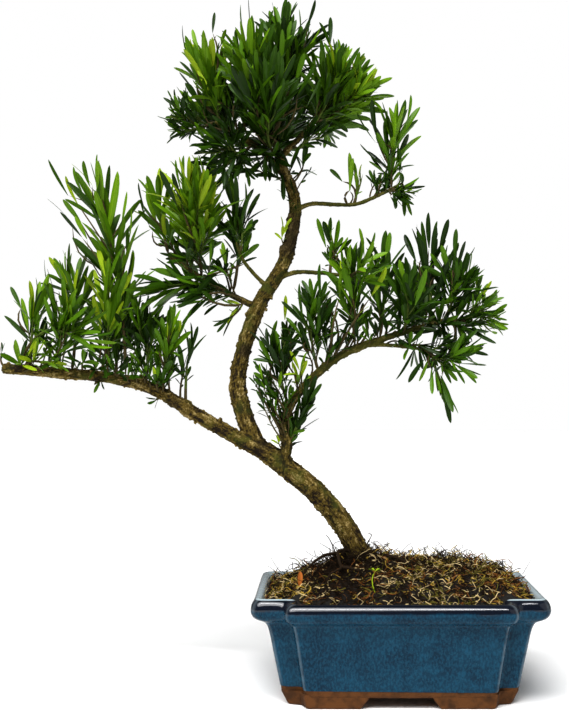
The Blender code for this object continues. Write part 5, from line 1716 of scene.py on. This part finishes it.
    def add_strand(self, kind: Strand, x: float, y: float, length: float, radius: float, spring: float) -> None:
        """Add one curling strand that lies on the surface and lifts here and there.

        Args:
            kind: Which heap it goes to.
            x: Where it starts, in mm.
            y: The same across.
            length: Its length in mm.
            radius: Its radius in mm.
            spring: How far its slope may change from one point to the next.
        """
        dice = self.dice
        heading, slope = dice.uniform(0, math.tau), dice.gauss(0.15, 0.3)
        curl = dice.gauss(0, 0.6)
        z = self.height(x, y) + dice.uniform(0.0, 1.8)
        step = length / 8
        points = [self.place.point(x, y, z)]
        for _ in range(8):
            heading += curl + dice.gauss(0, 0.35)
            slope = max(-0.9, min(0.9, slope + dice.gauss(-0.12, spring)))
            next_x = x + math.cos(heading) * math.cos(slope) * step
            next_y = y + math.sin(heading) * math.cos(slope) * step
            if not self.inside(next_x, next_y):
                heading += math.pi * 0.7
                continue
            x, y = next_x, next_y
            z = max(self.height(x, y) + 0.1, z + math.sin(slope) * step)
            points.append(self.place.point(x, y, z))
        if len(points) > 2:
            radii = np.full(len(points), radius * MM * dice.uniform(0.6, 1.35))
            self.heaps[kind].add(*tube_arrays(np.array(points), radii, 3))

    def add_roots(self) -> None:
        """Add the bent roots that show on the surface and the whiskers that stand up from it."""
        for stations in self.roots:
            points = [self.place.point(*station) for station in stations]
            route, radii = smooth_route(points, list(np.linspace(1.35, 0.6, len(points)) * MM), 1.5 * MM)
            self.heaps[Strand.DARK].add(*tube_arrays(route, radii, 8))
        for *ends, radius in self.whiskers:
            start, end = self.place.point(*ends[:3]), self.place.point(*ends[3:])
            middle = start.lerp(end, 0.5) + Vector((0, 0, (end - start).length * self.dice.uniform(-0.15, 0.2)))
            route = bowed(start, middle, end, 7)
            self.heaps[Strand.DARK].add(*tube_arrays(route, np.linspace(radius, radius * 0.5, 7) * MM, 5))

    def build_leaves(self) -> list[bpy.types.Object]:
        """The dry leaf that stands in the soil, and the green sprout."""
        made = []
        up, near = Vector((0, 0, 1)), Vector((0, -1, 0))
        side = near.cross(up)
        dry, green = MeshHeap(), MeshHeap()
        root = self.place.point(-68, -38, 77)
        LeafCutter().cut([Leaf(root, up, side, near, 11 * MM, 3.8 * MM, 0.1, 0.5, 0.4)], dry)
        top = self.place.point(-17, -50, 90)
        leaves = []
        for turn in range(5):
            out = perpendicular(up, turn * math.tau / 5)
            leaves.append(Leaf(top, (up * 0.5 + out).normalized(), out.cross(up), up, 5 * MM, 1.6 * MM, 0.1, 0.3, 0.0))
        LeafCutter().cut(leaves, green)
        stem = bowed(self.place.point(-16, -53, 74), self.place.point(-19, -51, 83), top, 6)
        green.add(*tube_arrays(stem, np.full(6, 0.45 * MM), 5))
        made.append(dry.make("dry_leaf", (DRY_LEAF_FINISH, DRY_LEAF_FINISH)))
        made.append(green.make("sprout", (LEAF_FINISHES[Tint.YOUNG], RIB_FINISHES[Tint.BRIGHT])))
        return made


@dataclass
class Studio:
    """The pale floor, the soft lights and the camera at the photograph's angle."""

    place: Place
    eye: tuple[float, float, float] = (-50.1, -875.0, 222.0)
    focal_pixels: float = 1222.0
    vanishing_pixel: tuple[float, float] = (326.0, 376.0)
    picture: tuple[int, int] = (569, 717)
    ambient: float = 0.22

    def build(self) -> None:
        """Set up floor, lights and camera."""
        self.add_floor()
        self.add_lights()
        self.add_camera()

    def add_floor(self) -> None:
        """A wide pale floor."""
        bpy.ops.object.select_all(action="DESELECT")
        bpy.ops.mesh.primitive_plane_add(size=8.0, location=(0, 0, -0.0002))
        floor = bpy.context.active_object
        floor.name = "studio_floor"
        look = Look("pale_floor", 0.6)
        look.set("Base Color", (0.97, 0.97, 0.97))
        floor.data.materials.append(look.material)

    def add_lights(self) -> None:
        """A white backdrop that lights weakly, a soft key light, a weak fill and a long box overhead."""
        scene = bpy.context.scene
        scene.view_settings.view_transform = "Standard"
        scene.view_settings.gamma = 0.85
        world = bpy.data.worlds.new("studio")
        scene.world = world
        world.use_nodes = True
        wiring = Wiring(world.node_tree)
        sight = Number(wiring, wiring.node("ShaderNodeLightPath", {}, {}).outputs["Is Camera Ray"])
        backdrop = world.node_tree.nodes["Background"].inputs
        wiring.feed(backdrop["Color"], (1.0, 1.0, 1.0))
        wiring.feed(backdrop["Strength"], sight * (1.0 - self.ambient) + self.ambient)
        centre = self.place.point(-50, 0, 250)
        for name, kind, away, power, sizes in (
            ("key", "SUN", (-0.33, -0.64, 1.12), 4.0, (math.radians(50),)),
            ("fill", "SUN", (0.9, -0.6, 0.5), 0.6, (math.radians(70),)),
            ("long_box", "AREA", (-0.1, -0.7, 0.9), 7.0, (1.0, 0.06)),
        ):
            lamp = bpy.data.lights.new(name, kind)
            lamp.energy = power
            if kind == "SUN":
                lamp.angle = sizes[0]
            else:
                lamp.shape = "RECTANGLE"
                lamp.size, lamp.size_y = sizes
            made = bpy.data.objects.new(name, lamp)
            scene.collection.objects.link(made)
            made.location = centre + Vector(away)
            made.rotation_euler = (-Vector(away)).to_track_quat("-Z", "Y").to_euler()

    def add_camera(self) -> None:
        """The camera: level, with its lens and shift from the photograph's perspective."""
        lens = bpy.data.cameras.new("camera")
        width, height = self.picture
        lens.sensor_width = 36.0
        lens.lens = self.focal_pixels / height * lens.sensor_width
        lens.shift_x = -(self.vanishing_pixel[0] - width / 2) / height
        lens.shift_y = (self.vanishing_pixel[1] - height / 2) / height
        camera = bpy.data.objects.new("camera", lens)
        bpy.context.scene.collection.objects.link(camera)
        camera.location = self.place.point(*self.eye)
        camera.rotation_euler = (math.radians(90), 0, 0)
        bpy.context.scene.camera = camera


def report(pieces: Sequence[bpy.types.Object], nodes: Sequence[str]) -> None:
    """Hang pieces on the body, hide the model's parts for the nodes they stand for, and log their size."""
    for piece in pieces:
        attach(piece, BODY)
        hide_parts(*nodes)
        LOG.info("%s: %d faces", piece.name, len(piece.data.polygons))


def main() -> None:
    """Build every sub-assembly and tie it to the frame."""
    logging.basicConfig(level=logging.INFO, format="%(relativeCreated)6d ms %(name)s %(message)s")
    place = Place()
    Studio(place).build()
    bowl, base = Pot(place).build()
    report([bowl], ["pot"])
    report([base], ["pot_base"])
    report(MossBed(place).build(), ["soil"])
    wood = Wood(place)
    report([wood.build()], [limb.name for limb in LIMBS])
    foliage = Foliage(place, wood.routes())
    report(foliage.build(), [spray.name for spray in SPRAYS])


if __name__ == "__main__":
    main()
